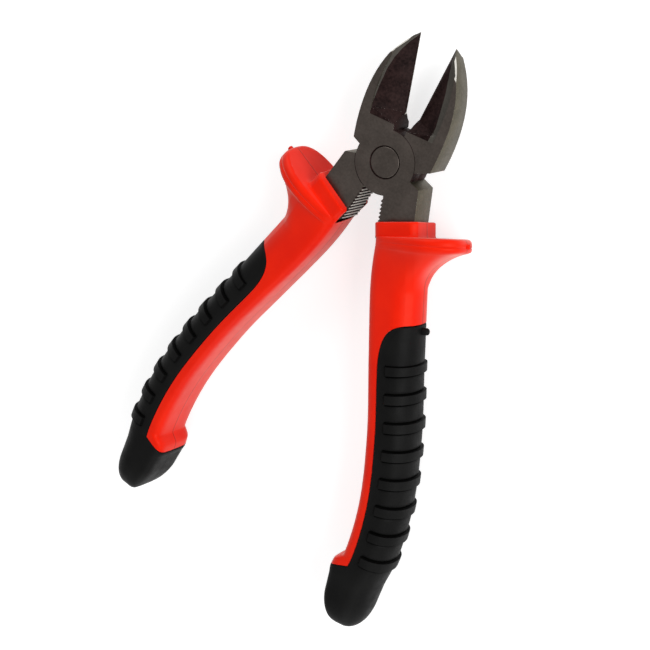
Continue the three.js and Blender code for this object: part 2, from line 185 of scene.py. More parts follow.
class Nodes:
    """A short way to put together a material's node tree."""

    def __init__(self, name: str) -> None:
        """Starts a material with a plain shader.

        Args:
            name: The material's name.
        """
        self.material = bpy.data.materials.new(name)
        self.material.use_nodes = True
        self.tree = self.material.node_tree
        self.shader = self.tree.nodes["Principled BSDF"]
        self.coords = self.tree.nodes.new("ShaderNodeTexCoord").outputs["Object"]

    def add(self, kind: str, **settings: object) -> bpy.types.Node:
        """Adds a node.

        Args:
            kind: The node's type name, without its common prefix.
            settings: Values for the node's own properties.

        Returns:
            The new node.
        """
        node = self.tree.nodes.new("ShaderNode" + kind)
        for key, value in settings.items():
            setattr(node, key, value)
        return node

    def link(self, output: Socket, target: Socket) -> None:
        """Joins two sockets.

        Args:
            output: Where the value comes from.
            target: Where it goes.
        """
        self.tree.links.new(output, target)

    def feed(self, name: str, output: Socket) -> None:
        """Leads a value to one of the shader's sockets.

        Args:
            name: The socket's name.
            output: Where the value comes from.
        """
        self.link(output, self.shader.inputs[name])

    def fix(self, values: dict[str, float | Colour]) -> None:
        """Sets what is the same all over the surface.

        Args:
            values: The names of the shader's sockets, with their numbers or colours.
        """
        for name, value in values.items():
            whole = (*value, 1.0) if isinstance(value, tuple) else value
            self.shader.inputs[name].default_value = whole

    def stretched(self, scale: tuple[float, float, float]) -> Socket:
        """Gives the object's own coordinates, scaled unevenly.

        Args:
            scale: The factor along each axis.

        Returns:
            The vector socket.
        """
        mapping = self.add("Mapping")
        mapping.inputs["Scale"].default_value = scale
        self.link(self.coords, mapping.inputs["Vector"])
        return mapping.outputs["Vector"]

    def noise(
        self,
        scale: float,
        detail: float = 3.0,
        rough: float = 0.55,
        vector: Socket | None = None,
    ) -> Socket:
        """Adds a noise texture.

        Args:
            scale: Its scale, per metre.
            detail: How many finer layers it has.
            rough: How strong the finer layers are.
            vector: The coordinates, or the object's own.

        Returns:
            The noise's value socket.
        """
        node = self.add("TexNoise")
        node.inputs["Scale"].default_value = scale
        node.inputs["Detail"].default_value = detail
        node.inputs["Roughness"].default_value = rough
        self.link(vector or self.coords, node.inputs["Vector"])
        return node.outputs["Fac"]

    def span(self, value: Socket, source: Span, target: Span) -> Socket:
        """Maps a value from one range to another, without leaving the new range.

        Args:
            value: The value.
            source: The range that it comes from.
            target: The range that it goes to.

        Returns:
            The mapped value's socket.
        """
        node = self.add("MapRange", clamp=True)
        node.inputs["From Min"].default_value = source[0]
        node.inputs["From Max"].default_value = source[1]
        node.inputs["To Min"].default_value = target[0]
        node.inputs["To Max"].default_value = target[1]
        self.link(value, node.inputs["Value"])
        return node.outputs["Result"]

    def maths(self, operation: str, first: Socket, second: Socket | float = 0.0) -> Socket:
        """Works out a value from one or two others.

        Args:
            operation: The operation's name.
            first: The first value's socket.
            second: The second value, a socket or a number.

        Returns:
            The result's socket.
        """
        node = self.add("Math", operation=operation)
        self.link(first, node.inputs[0])
        if isinstance(second, Socket):
            self.link(second, node.inputs[1])
        else:
            node.inputs[1].default_value = second
        return node.outputs[0]

    def mixture(self, *parts: tuple[Socket, float]) -> Socket:
        """Adds up values, each with its own weight.

        Args:
            parts: The values' sockets with their weights.

        Returns:
            The sum's socket.
        """
        total, *others = [self.maths("MULTIPLY", value, weight) for value, weight in parts]
        for other in others:
            total = self.maths("ADD", total, other)
        return total

    def patches(self, scale: float, rough: float, target: Span) -> Socket:
        """Gives soft patches that run over a range of values.

        Args:
            scale: The patches' scale, per metre.
            rough: How ragged they are.
            target: The range.

        Returns:
            The value's socket.
        """
        return self.span(self.noise(scale, 4, rough), (0.3, 0.7), target)

    def tint(self, factor: Socket, low: Socket | Colour, high: Socket | Colour) -> Socket:
        """Mixes two colours by a value from 0 to 1.

        Args:
            factor: The value.
            low: The colour at 0, as a socket or as numbers.
            high: The colour at 1.

        Returns:
            The colour's socket.
        """
        node = self.add("Mix", data_type="RGBA")
        self.link(factor, node.inputs[0])
        for socket, colour in zip(node.inputs[6:8], (low, high)):
            if isinstance(colour, tuple):
                socket.default_value = (*colour, 1.0)
            else:
                self.link(colour, socket)
        return node.outputs[2]

    def bump(self, height: Socket, strength: float, distance: float) -> None:
        """Raises the surface by a value.

        Args:
            height: The value.
            strength: How strongly it shows.
            distance: How high a value of 1 stands, in metres.
        """
        node = self.add("Bump")
        node.inputs["Strength"].default_value = strength
        node.inputs["Distance"].default_value = distance
        self.link(height, node.inputs["Height"])
        self.link(node.outputs["Normal"], self.shader.inputs["Normal"])

    def ridge_at_middle(self, half_width: float) -> Socket:
        """Gives the mould's parting line: 1 on the tool's middle plane and 0 beside it.

        Args:
            half_width: The line's half width, in metres.

        Returns:
            The value's socket.
        """
        parts = self.add("SeparateXYZ")
        self.link(self.coords, parts.inputs["Vector"])
        offset = self.maths("SUBTRACT", parts.outputs["Z"], PIVOT_HEIGHT * MM)
        return self.span(self.maths("ABSOLUTE", offset), (0.0, half_width), (1.0, 0.0))


def backdrop_rays(tree: bpy.types.NodeTree) -> Socket:
    """Tells the rays that see the white backdrop: from the camera, off gloss and through glass.

    Args:
        tree: The node tree of the floor or the surroundings.

    Returns:
        A socket with 1 for such a ray and 0 for any other.
    """
    path = tree.nodes.new("ShaderNodeLightPath")
    seen = path.outputs["Is Camera Ray"]
    for kind in ("Is Glossy Ray", "Is Transmission Ray"):
        either = tree.nodes.new("ShaderNodeMath")
        either.operation = "MAXIMUM"
        tree.links.new(seen, either.inputs[0])
        tree.links.new(path.outputs[kind], either.inputs[1])
        seen = either.outputs[0]
    return seen


@dataclass(frozen=True)
class Plastic:
    """Moulded red plastic with faint flow marks and a parting line."""

    name: str = "red_moulded_plastic"
    deep: Colour = (0.72, 0.0075, 0.0003)
    bright: Colour = (0.82, 0.0135, 0.0006)
    line: Colour = (0.38, 0.004, 0.0003)
    line_half: float = 0.0003
    flow_scale: float = 60.0
    gloss_scale: float = 420.0
    roughness: Span = (0.33, 0.45)
    # Grain and waves: the scale per metre, and the share of the relief's height.
    grain: Span = (2600.0, 0.10)
    waves: Span = (140.0, 0.6)
    line_height: float = 0.5
    relief: float = 0.00016
    relief_strength: float = 0.35
    shine: float = 0.11
    shine_tint: Colour = (1.0, 0.85, 0.6)
    # The sheen's weight and roughness.
    sheen: Span = (0.42, 0.4)
    sheen_tint: Colour = (1.0, 0.88, 0.76)

    def build(self) -> bpy.types.Material:
        """Builds the material.

        Returns:
            The material.
        """
        nodes = Nodes(self.name)
        line = nodes.ridge_at_middle(self.line_half)
        flow = nodes.tint(nodes.patches(self.flow_scale, 0.6, (0, 1)), self.deep, self.bright)
        nodes.feed("Base Color", nodes.tint(line, flow, self.line))
        nodes.feed("Roughness", nodes.patches(self.gloss_scale, 0.55, self.roughness))
        grain = nodes.noise(self.grain[0], 3, 0.6)
        waves = nodes.noise(self.waves[0], 2)
        height = nodes.mixture(
            (grain, self.grain[1]), (waves, self.waves[1]), (line, self.line_height)
        )
        nodes.bump(height, self.relief_strength, self.relief)
        nodes.fix(
            {
                "Specular IOR Level": self.shine,
                "Specular Tint": self.shine_tint,
                "Sheen Tint": self.sheen_tint,
                "Sheen Weight": self.sheen[0],
                "Sheen Roughness": self.sheen[1],
            }
        )
        return nodes.material


@dataclass(frozen=True)
class Rubber:
    """Soft black overmoulding with a fine spark-eroded grain."""

    name: str = "black_soft_rubber"
    deep: Colour = (0.0030, 0.0030, 0.0030)
    bright: Colour = (0.0065, 0.0065, 0.0063)
    roughness: Span = (0.40, 0.56)
    cloud_scale: float = 90.0
    gloss_scale: float = 300.0
    grain_scale: float = 3600.0
    line_half: float = 0.0002
    line_height: float = 0.9
    relief: float = 0.00007
    relief_strength: float = 0.5
    shine: float = 0.05

    def build(self) -> bpy.types.Material:
        """Builds the material.

        Returns:
            The material.
        """
        nodes = Nodes(self.name)
        cloud = nodes.patches(self.cloud_scale, 0.6, (0, 1))
        nodes.feed("Base Color", nodes.tint(cloud, self.deep, self.bright))
        nodes.feed("Roughness", nodes.patches(self.gloss_scale, 0.55, self.roughness))
        grain = nodes.noise(self.grain_scale, 2, 0.6)
        line = nodes.ridge_at_middle(self.line_half)
        height = nodes.mixture((grain, 1.0), (line, self.line_height))
        nodes.bump(height, self.relief_strength, self.relief)
        nodes.fix({"Specular IOR Level": self.shine})
        return nodes.material


# Darker, duller rubber for the ribs' side walls and foot grooves: painted shade that outlines each
# rib.
RIB_SIDE_SHADE = Rubber("black_rib_sides_painted_shade", (0.0010,) * 3, (0.0024, 0.0024, 0.0023), shine=0.02)


class Ground(Enum):
    """How a steel surface was left by the works; the dark bevel finish is also painted shade in
    gaps, and the bright edge finish is partly a painted highlight.
    """

    FACE = "face"
    SIDE = "side"
    BEVEL = "bevel"
    EDGE = "edge"
    FLANK = "flank"


@dataclass(frozen=True)
class Steel:
    """Oiled tool steel: satin faces, rougher forged sides, dark bevels and bare edges, the bare
    edges made bright as a painted highlight.
    """

    ground: Ground
    low: Colour
    high: Colour
    roughness: Span
    grain: tuple[float, float, float]
    depth: float
    metal: float = 0.92
    shine: float = 0.5
    cloud_scale: float = 170.0
    stain_scale: float = 1500.0
    speckle_scale: float = 2400.0
    relief_strength: float = 0.5

    def build(self) -> bpy.types.Material:
        """Builds the material.

        Returns:
            The material.
        """
        nodes = Nodes(f"tool_steel_{self.ground.value}")
        cloud = nodes.noise(self.cloud_scale, 5, 0.62)
        stain = nodes.mixture((cloud, 0.6), (nodes.noise(self.stain_scale, 3, 0.6), 0.4))
        patchy = nodes.span(stain, (0.38, 0.62), (0, 1))
        nodes.feed("Base Color", nodes.tint(patchy, self.low, self.high))
        scratches = nodes.noise(1.0, 3, 0.7, nodes.stretched(self.grain))
        speckle = nodes.noise(self.speckle_scale, 3, 0.65)
        rough = nodes.mixture((scratches, 0.5), (speckle, 0.5))
        nodes.feed("Roughness", nodes.span(rough, (0.35, 0.65), self.roughness))
        nodes.bump(rough, self.relief_strength, self.depth)
        nodes.fix({"Metallic": self.metal, "Specular IOR Level": self.shine})
        return nodes.material


STEELS = (
    Steel(
        Ground.FACE,
        low=(0.045, 0.037, 0.032),
        high=(0.067, 0.055, 0.048),
        roughness=(0.28, 0.40),
        grain=(900, 260, 900),
        depth=0.00003,
    ),
    Steel(
        Ground.SIDE,
        low=(0.068, 0.060, 0.042),
        high=(0.116, 0.103, 0.073),
        roughness=(0.38, 0.54),
        grain=(260, 260, 1800),
        depth=0.00005,
    ),
    Steel(
        Ground.BEVEL,
        low=(0.007, 0.0035, 0.0034),
        high=(0.032, 0.0175, 0.0165),
        roughness=(0.30, 0.46),
        grain=(260, 1500, 400),
        depth=0.00004,
        metal=0.0,
        shine=0.02,
    ),
    # Bare ground edges, their colour raised far above the faces' as a painted highlight.
    Steel(
        Ground.EDGE,
        low=(0.46, 0.44, 0.40),
        high=(0.62, 0.60, 0.55),
        roughness=(0.36, 0.52),
        grain=(800, 800, 800),
        depth=0.00002,
        metal=0.3,
    ),
    Steel(
        Ground.FLANK,
        low=(0.056, 0.051, 0.044),
        high=(0.080, 0.073, 0.063),
        roughness=(0.32, 0.46),
        grain=(900, 260, 900),
        depth=0.00003,
        metal=0.0,
        shine=0.05,
    ),
)


@dataclass
class Spine:
    """The smooth line that the handle's sections are set on, measured from the collar's top."""

    points: tuple[tuple[float, float], ...] = (
        (8.1, -14.2),
        (9.3, -19),
        (10.6, -28.5),
        (15.45, -50),
        (20.1, -70),
        (22.65, -89),
        (22.1, -104.5),
        (19.8, -115),
        (18.7, -127.4),
    )
    divisions: int = 800
    probe: float = 0.4
    table: list[tuple[float, Vector]] = field(default_factory=list)

    def __post_init__(self) -> None:
        """Measures the line once."""
        last = self._at(0.0)
        total = 0.0
        for step in range(self.divisions + 1):
            point = self._at(step / self.divisions)
            total += (point - last).length
            self.table.append((total, point))
            last = point

    def _at(self, share: float) -> Vector:
        """Gives a point of the centripetal spline.

        Args:
            share: How far along the points, from 0 to 1.

        Returns:
            The point.
        """
        points = [Vector(point) for point in self.points]
        place = (len(points) - 1) * share
        first = min(int(place), len(points) - 2)
        weight = place - first
        second, third = points[first], points[first + 1]
        before = points[first - 1] if first else 2 * second - third
        after = points[first + 2] if first + 2 < len(points) else 2 * third - second
        ends = ((before, second), (second, third), (third, after))
        gaps = [math.sqrt((far - near).length) for near, far in ends]
        start = (second - before) / gaps[0] - (third - before) / (gaps[0] + gaps[1])
        start = (start + (third - second) / gaps[1]) * gaps[1]
        end = (third - second) / gaps[1] - (after - second) / (gaps[1] + gaps[2])
        end = (end + (after - third) / gaps[2]) * gaps[1]
        square = -3 * second + 3 * third - 2 * start - end
        cube = 2 * second - 2 * third + start + end
        return second + start * weight + square * weight**2 + cube * weight**3

    @property
    def length(self) -> float:
        """Returns the line's length."""
        return self.table[-1][0]

    def point(self, distance: float) -> Vector:
        """Gives the point at a distance, going straight on past the ends.

        Args:
            distance: The distance from the collar's top.

        Returns:
            The point in plan.
        """
        low, high = 0, len(self.table) - 1
        while high - low > 1:
            middle = (low + high) // 2
            if self.table[middle][0] <= distance:
                low = middle
            else:
                high = middle
        near, far = self.table[low], self.table[high]
        share = (distance - near[0]) / (far[0] - near[0])
        if 0 <= share <= 1:
            return near[1].lerp(far[1], share)
        return near[1] + (far[1] - near[1]) * share

    def beside(self, distance: float, across: float, height: float, along: float = 0.0) -> Vector:
        """Gives a point beside the line.

        Args:
            distance: The distance from the collar's top.
            across: How far it lies towards the outer side.
            height: Its height above the middle plane.
            along: How far it is moved along the line's direction there.

        Returns:
            The point in the drawing.
        """
        ahead, behind = self.point(distance + self.probe), self.point(distance - self.probe)
        tangent = (ahead - behind).normalized()
        place = self.point(distance) + Vector((-tangent.y, tangent.x)) * across + tangent * along
        return Vector((place.x, place.y, height))


@dataclass(frozen=True)
class Section:
    """One section of a handle: an oval that may be squarer inside than outside."""

    at: float
    inner: float
    outer: float
    depth: float
    inner_power: float
    outer_power: float
    droop: float = 0.0
    flush: float = 0.0
    slant: float = 0.0
    lean: float = 0.0
    flush_run: float = 4.0

    def point(self, angle: float) -> Span:
        """Gives a point of the section.

        Args:
            angle: The angle from the outer side towards the front.

        Returns:
            How far the point is across and above the spine.
        """
        cosine, sine = math.cos(angle), math.sin(angle)
        power = 2 / (self.outer_power if cosine > 0 else self.inner_power)
        reach = self.outer if cosine > 0 else self.inner
        across = math.copysign(abs(cosine) ** power * reach, cosine)
        share = clamped((across + self.inner) / (2 * self.inner + self.flush_run))
        left = 1 - self.flush * (1 - math.sin(share * math.pi / 2))
        return across, math.copysign(abs(sine) ** power * self.depth * left, sine)

    def angle_at(self, across: float) -> float:
        """Gives the angle of the front point that lies that far across.

        Args:
            across: How far across the spine.

        Returns:
            The angle.
        """
        if across >= 0:
            return math.acos(min(1.0, across / self.outer) ** (self.outer_power / 2))
        return math.acos(-(min(1.0, -across / self.inner) ** (self.inner_power / 2)))

    def mixed(self, other: "Section", share: float) -> "Section":
        """Gives a section between this one and another.

        Args:
            other: The other section.
            share: How far towards it, from 0 to 1.

        Returns:
            The section between them.
        """
        values = {}
        for size in fields(self):
            own = getattr(self, size.name)
            values[size.name] = own + (getattr(other, size.name) - own) * share
        return Section(**values)

    def grown(self, amount: float) -> "Section":
        """Gives a section that is larger all round.

        Args:
            amount: By how much.

        Returns:
            The larger section.
        """
        return replace(
            self, inner=self.inner + amount, outer=self.outer + amount, depth=self.depth + amount
        )

    def flushed(self, depth: float) -> "Section":
        """Gives the section with its inner side drawn in to a set depth.

        Args:
            depth: The half depth that is left at the inner side.

        Returns:
            The drawn-in section.
        """
        return replace(self, flush=1 - depth / self.depth)


@dataclass(frozen=True)
class Run:
    """One stretch of a section, cut into points at set distances along it."""

    points: list[Span]
    normals: list[Span]


@dataclass
class HandleForm:
    """The sizes of a handle, and the skins of its two materials."""

    spine: Spine = field(default_factory=Spine)
    collar_width: float = 6.0
    collar_inner: float = 6.5
    collar_depth: float = 6.5
    collar_height: float = 4.0
    collar_slant: float = 0.13
    collar_lean: float = 0.07
    collar_power: float = 9.0
    # The collar's edge and foot: each row's distance, and its growth all round.
    collar_edge: tuple[Span, ...] = (
        (0.0, -2.6),
        (0.0, -0.5),
        (0.04, -0.28),
        (0.15, -0.1),
        (0.4, 0.0),
    )
    collar_rows: tuple[float, ...] = (1.4, 2.6, 3.5)
    collar_foot: tuple[Span, ...] = ((3.85, 0.08), (4.0, 0.3))
    foot_inner: float = 0.2
    guard_reach: float = 17.6
    guard_inner: float = 6.6
    guard_depth: float = 9.7
    guard_power: float = 2.9
    guard_rim: float = 3.4
    guard_droop: float = 0.1
    guard_corner: float = 1.1
    guard_draw: float = 0.1
    guard_rows: tuple[float, ...] = (0.12, 0.3, 0.5, 0.7, 0.88, 1.0)
    guard_fillet: float = 10.0
    corner_steps: int = 5
    rim_thinning: float = 1.0
    # The rim's rows: distance from the rim's end, growth, and share of the thinning.
    rim_rows: tuple[tuple[float, float, float], ...] = (
        (1.86, 0.0, 0.30),
        (1.72, -0.16, 0.36),
        (1.58, 0.0, 0.42),
        (1.1, 0.0, 0.65),
        (0.6, -0.12, 0.85),
    )
    cove_square: float = 1.6
    cove_power: float = 0.9
    cove_overlap: float = 0.3
    cove_steps: int = 18
    inner_power: float = 6.0
    outer_power: float = 2.2
    neck_width: float = 6.7
    neck_depth: float = 7.1
    neck_length: float = 33.0
    neck_rows: int = 10
    grip_width: float = 6.05
    grip_depth: float = 8.1
    grip_top: float = 26.5
    top_rows: tuple[float, ...] = (0.7, 1.2, 1.8, 2.6)
    turn_start: float = 3.4
    turn_step: float = 0.9
    turn_rows: int = 10
    lip_reach: float = 2.0
    lip_height: float = 2.2
    lip_setback: float = 21.2
    lip_drop: float = 3.4
    lip_ramp: float = 1.3
    lip_skew: float = 6.5
    lip_rows: tuple[float, ...] = (0.0, 0.14, 0.5, 0.9, 1.3, 1.6, 1.9, 2.2, 2.5, 2.8, 3.3, 4.2)
    cap_length: float = 9.5
    cap_power: float = 0.7
    cap_taper: float = 2.9
    cap_rows: tuple[float, ...] = (0.0, 0.0, 0.15, 0.6, 1.4, 2.6, 4.0)
    cap_gap: float = 0.8
    cap_steps: int = 22
    seam_offset: float = 2.7
    seam_shoulder: float = 4.2
    seam_turn: float = 12.0
    # How far below the grip's top the pulls of the seam's curve lie.
    seam_pull: Span = (0.6, 3.5)
    seam_start: float = 0.05
    seam_gap: float = 0.2
    seam_round: float = 0.14
    # The width up to which a section is split at a share of it, and that share.
    seam_narrow: Span = (4.6, 0.7)
    wall: float = 0.9
    rib_count: int = 8
    rib_pitch: float = 7.65
    rib_width: float = 2.8
    rib_height: float = 0.7
    rib_edge: float = 0.22
    rib_margin: float = 2.6
    rib_groove: float = 0.26
    rib_foot: float = 0.34
    rib_shoulder: float = 0.62
    rib_ends: tuple[float, ...] = (-0.4, -0.12, 0.12)
    rib_flat: int = 3
    rib_wall: float = 0.3
    rib_rows: tuple[float, ...] = (0.0, 0.32, 0.5, 0.68)
    first_rib: float = 38.6
    notch_half: float = 4.6
    # The step beside the notch: its most, and its share of the section's inner length.
    notch_edge: Span = (0.35, 0.02)
    notch_end: float = 6.2
    outer_columns: int = 44
    inner_columns: int = 12
    samples: int = 260
    margin_share: float = 0.3
    halvings: int = 30
    crisp_gap: float = 0.1
    row_gap: float = 0.06
    gate_root: float = 0.5
    # The guard's gate: its radius and length.
    guard_gate: Span = (0.75, 1.4)
    grip_gate: float = 1.0
    grip_gate_at: float = 2.0
    right_stub: float = 2.9
    left_stub: float = 1.1
    # A gate's rings: the share of its length, and of its radius.
    gate_rows: tuple[Span, ...] = ((0, 1.06), (0.5, 1.0), (0.82, 0.97), (0.94, 0.84), (1.0, 0.6))
    gate_sides: int = 24

    @property
    def lip_line(self) -> float:
        """Returns the distance of the seam under the lip."""
        return self.spine.length - self.lip_setback + self.lip_height

    def seam_across(self, distance: float) -> float:
        """Gives how far across the spine the seam is.

        Args:
            distance: The distance from the collar's top.

        Returns:
            The seam's place across, towards the outer side.
        """
        top, turn = self.grip_top, self.seam_turn
        if distance <= top:
            return self.seam_shoulder
        if distance >= top + turn:
            return -self.seam_offset
        along = (top, top + self.seam_pull[0], top + self.seam_pull[1], top + turn)
        across = (self.seam_shoulder, 0.0, -self.seam_offset, -self.seam_offset)
        low, high = 0.0, 1.0
        for _ in range(self.halvings):
            middle = (low + high) / 2
            if self._bezier(along, middle) < distance:
                low = middle
            else:
                high = middle
        return self._bezier(across, low)

    @staticmethod
    def _bezier(values: tuple[float, ...], share: float) -> float:
        """Gives a value on a cubic curve.

        Args:
            values: The four control values.
            share: How far along, from 0 to 1.

        Returns:
            The value there.
        """
        rest = 1 - share
        weights = (rest**3, 3 * rest**2 * share, 3 * rest * share**2, share**3)
        return sum(weight * value for weight, value in zip(weights, values))

    def shoulder(self, section: Section) -> float:
        """Gives where a section above the grip is split into its inner and outer stretch.

        Args:
            section: The section.

        Returns:
            The place across the spine.
        """
        widest, share = self.seam_narrow
        return self.seam_shoulder if section.outer > widest else section.outer * share

    def collar_sections(self) -> list[Section]:
        """Lays out the collar, from inside its mouth over its rounded top edge.

        Returns:
            The sections.
        """
        base = Section(
            0,
            self.collar_inner,
            self.collar_width,
            self.collar_depth,
            self.collar_power,
            self.collar_power,
            slant=self.collar_slant,
            lean=self.collar_lean,
        )
        sections = [replace(base.grown(grow), at=at) for at, grow in self.collar_edge]
        sections += [replace(base, at=at) for at in self.collar_rows]
        for at, grow in self.collar_foot:
            inner = self.collar_inner + grow * self.foot_inner
            foot = replace(base.grown(grow), at=at, inner=inner)
            sections.append(foot.flushed(self.collar_depth))
        return sections

    def guard_sections(self) -> list[Section]:
        """Lays out the thumb guard: flat top, rounded rim and hollow underside.

        Returns:
            The sections.
        """
        rim = Section(
            0,
            self.guard_inner,
            self.guard_reach,
            self.guard_depth,
            self.inner_power,
            self.guard_power,
            droop=self.guard_droop,
            slant=self.collar_slant,
            lean=self.collar_lean,
        )
        top, level, corner = self.collar_height, self.collar_depth, self.guard_corner
        start = replace(self.collar_sections()[-1], at=top)
        flat = replace(rim.grown(-corner), inner=self.guard_inner - self.guard_draw, at=top)
        sections = [start.mixed(flat, share).flushed(level) for share in self.guard_rows]
        for step in range(1, self.corner_steps + 1):
            turn = step / self.corner_steps * math.pi / 2
            left = 1 - math.sin(turn)
            bent = replace(
                rim.grown(-corner * left),
                inner=self.guard_inner - self.guard_draw * left,
                at=top + corner * (1 - math.cos(turn)),
            )
            sections.append(bent.flushed(level))
        rim_end = top + self.guard_rim
        for at, grow, rise in self.rim_rows:
            low = replace(rim.grown(grow), inner=self.guard_inner, at=rim_end - at)
            sections.append(replace(low, droop=-self.rim_thinning * rise).flushed(level))
        return sections + self._cove_sections(rim, rim_end)

    def _cove_sections(self, rim: Section, rim_end: float) -> list[Section]:
        """Gives the sections of the hollow that runs from the guard's rim into the neck.

        Args:
            rim: The guard's full section.
            rim_end: The distance where the rim ends.

        Returns:
            The sections.
        """
        neck = self.body_section(0)
        start, run = rim_end - self.cove_overlap, self.guard_fillet + self.cove_overlap
        sections = []
        for step in range(1, self.cove_steps + 1):
            share = step / self.cove_steps
            turn = share * math.pi / 2
            drawn = 1 - math.sin(turn) ** self.cove_power
            middle = rim.mixed(neck, share)
            hollow = replace(
                middle,
                at=start + run * (1 - math.cos(turn)),
                outer=self.neck_width + (self.guard_reach - self.neck_width) * drawn,
                depth=self.neck_depth + (self.guard_depth - self.neck_depth) * drawn,
                outer_power=middle.outer_power + self.cove_square * math.sin(math.pi * share),
                droop=-self.rim_thinning * drawn**2,
            )
            level = self.collar_depth + (self.neck_depth - self.collar_depth) * share
            sections.append(hollow.flushed(level))
        return sections

    def body_section(self, distance: float) -> Section:
        """Gives the plain section of the neck or grip, without lip and cap.

        Args:
            distance: The distance from the collar's top.

        Returns:
            The section there.
        """
        neck_end = self.collar_height + self.guard_rim + self.guard_fillet
        share = eased((distance - neck_end) / self.neck_length)
        width = self.neck_width + (self.grip_width - self.neck_width) * share
        depth = self.neck_depth + (self.grip_depth - self.neck_depth) * share
        return Section(distance, width, width, depth, self.inner_power, self.outer_power)

    def lip_swell(self, distance: float) -> float:
        """Gives how far the lip stands out on the inner side.

        Args:
            distance: The distance from the collar's top.

        Returns:
            The extra reach.
        """
        start = self.lip_line - self.lip_height - self.lip_ramp / 2
        return self.lip_reach * eased((distance - start) / self.lip_ramp)

    def end_section(self, distance: float) -> Section:
        """Gives the section near the handle's end, with lip and rounded cap.

        Args:
            distance: The distance from the collar's top.

        Returns:
            The section there.
        """
        base = self.body_section(distance)
        base = replace(base, inner=base.inner + self.lip_swell(distance))
        start = self.spine.length - self.cap_length
        share = clamped((distance - start) / self.cap_length)
        size = max(0.0, 1 - share**2) ** (self.cap_power / 2)
        below = max(0.0, (distance - self.lip_line) / (self.spine.length - self.lip_line))
        inner = base.inner - self.cap_taper * below
        return replace(base, inner=inner * size, outer=base.outer * size, depth=base.depth * size)

    def rib_offset(self, distance: float) -> float:
        """Gives how far a place is from the middle of the nearest rib.

        Args:
            distance: The place's distance from the collar's top.

        Returns:
            The distance from the rib's middle.
        """
        number = round((distance - self.first_rib) / self.rib_pitch)
        number = min(self.rib_count - 1, max(0, number))
        return abs(distance - self.first_rib - number * self.rib_pitch)

    def rib_weight(self, distance: float) -> float:
        """Gives the rib height at a distance: 0 between ribs and 1 on top of one."""
        return clamped((self.rib_width / 2 - self.rib_offset(distance)) / self.rib_edge)

    def groove_weight(self, distance: float) -> float:
        """Gives 1 in the narrow groove at a rib's foot and 0 elsewhere."""
        off = self.rib_offset(distance) - self.rib_width / 2
        return float(abs(off) < self.rib_edge / 4)

    def rib_lift(self, count: int, rise: float, margin: int) -> list[float]:
        """Gives how far each column of a ring stands out, with the rib's two ends left flat.

        Args:
            count: How many columns there are.
            rise: How far the middle columns stand out.
            margin: How many columns stay flat at each end.

        Returns:
            Each column's lift.
        """
        lifts = []
        for column in range(count):
            edge = min(column, count - 1 - column)
            share = self.rib_shoulder if edge == margin else float(edge > margin)
            lifts.append(rise * share)
        return lifts

    def grip_stations(self) -> list[float]:
        """Spaces the rings from the grip's top to the seam under the lip.

        Returns:
            Their distances from the collar's top.
        """
        top, end = self.grip_top, self.lip_line - self.seam_gap
        stations = {top + self.seam_gap + self.seam_round}
        stations |= {top + row for row in self.top_rows}
        stations |= {top + self.turn_start + self.turn_step * row for row in range(self.turn_rows)}
        stations |= {end - row for row in self.lip_rows}
        half = self.rib_width / 2
        edges = (half + self.rib_foot, half, half - self.rib_edge / 2, half - self.rib_edge)
        crisp: set[float] = set()
        for number in range(self.rib_count):
            middle = self.first_rib + number * self.rib_pitch
            crisp |= {middle + edge * way for edge in edges for way in (-1, 1)}
            stations |= {middle + self.rib_pitch * share for share in self.rib_rows}
        spare = {s for s in stations if min(abs(s - c) for c in crisp) > self.crisp_gap}
        kept: list[float] = []
        for station in sorted(s for s in crisp | spare if top < s <= end):
            if not kept or station - kept[-1] > self.row_gap:
                kept.append(station)
        return kept

    def outer_run(self, section: Section, across: float, wall: bool = False) -> Run:
        """Cuts the outer stretch of a section into columns.

        Args:
            section: The section.
            across: Where the stretch starts and ends, across the spine.
            wall: Whether rounded edges turn in at both ends.

        Returns:
            The columns from the front to the back.
        """
        limit = section.angle_at(across)
        margins = [0.0, self.seam_round]
        margins += [self.rib_margin + end for end in self.rib_ends]
        run = self._cut(section, (limit, -limit), margins, self.outer_columns)
        return self._walled(run) if wall else run

    def inner_run(self, section: Section, across: float) -> Run:
        """Cuts the inner stretch of a section into columns, with those of the collar's notch.

        Args:
            section: The section.
            across: Where the stretch starts and ends, across the spine.

        Returns:
            The columns from the front to the back.
        """
        limit = section.angle_at(across)
        ends = (limit, 2 * math.pi - limit)
        return self._cut(section, ends, [0.0, self.seam_round], self.inner_columns, True)

    def _places(
        self, total: float, margins: list[float], columns: int, notch: bool
    ) -> list[float]:
        """Gives the columns' distances along a stretch of a section.

        Args:
            total: The stretch's length.
            margins: Set distances from both ends.
            columns: How many even steps lie between the set distances.
            notch: Whether the middle keeps the columns of the collar's notch.

        Returns:
            The distances from the stretch's start.
        """
        low = min(margins[-1], total * self.margin_share)
        scale = low / margins[-1]
        near = [margin * scale for margin in margins]
        if not notch:
            even = [low + (total - 2 * low) * step / columns for step in range(1, columns)]
            return near + even + [total - place for place in reversed(near)]
        widest, share = self.notch_edge
        half = min(self.notch_half, total * self.margin_share)
        fixed = [0.0, half * 0.5, half, half + min(widest, total * share)]
        run = total / 2 - near[-1] - fixed[-1]
        side = [fixed[-1] + run * step / columns for step in range(1, columns)]
        arm = [total / 2 - place for place in reversed(fixed + side)]
        return near + arm + [total - place for place in reversed(near + arm[:-1])]

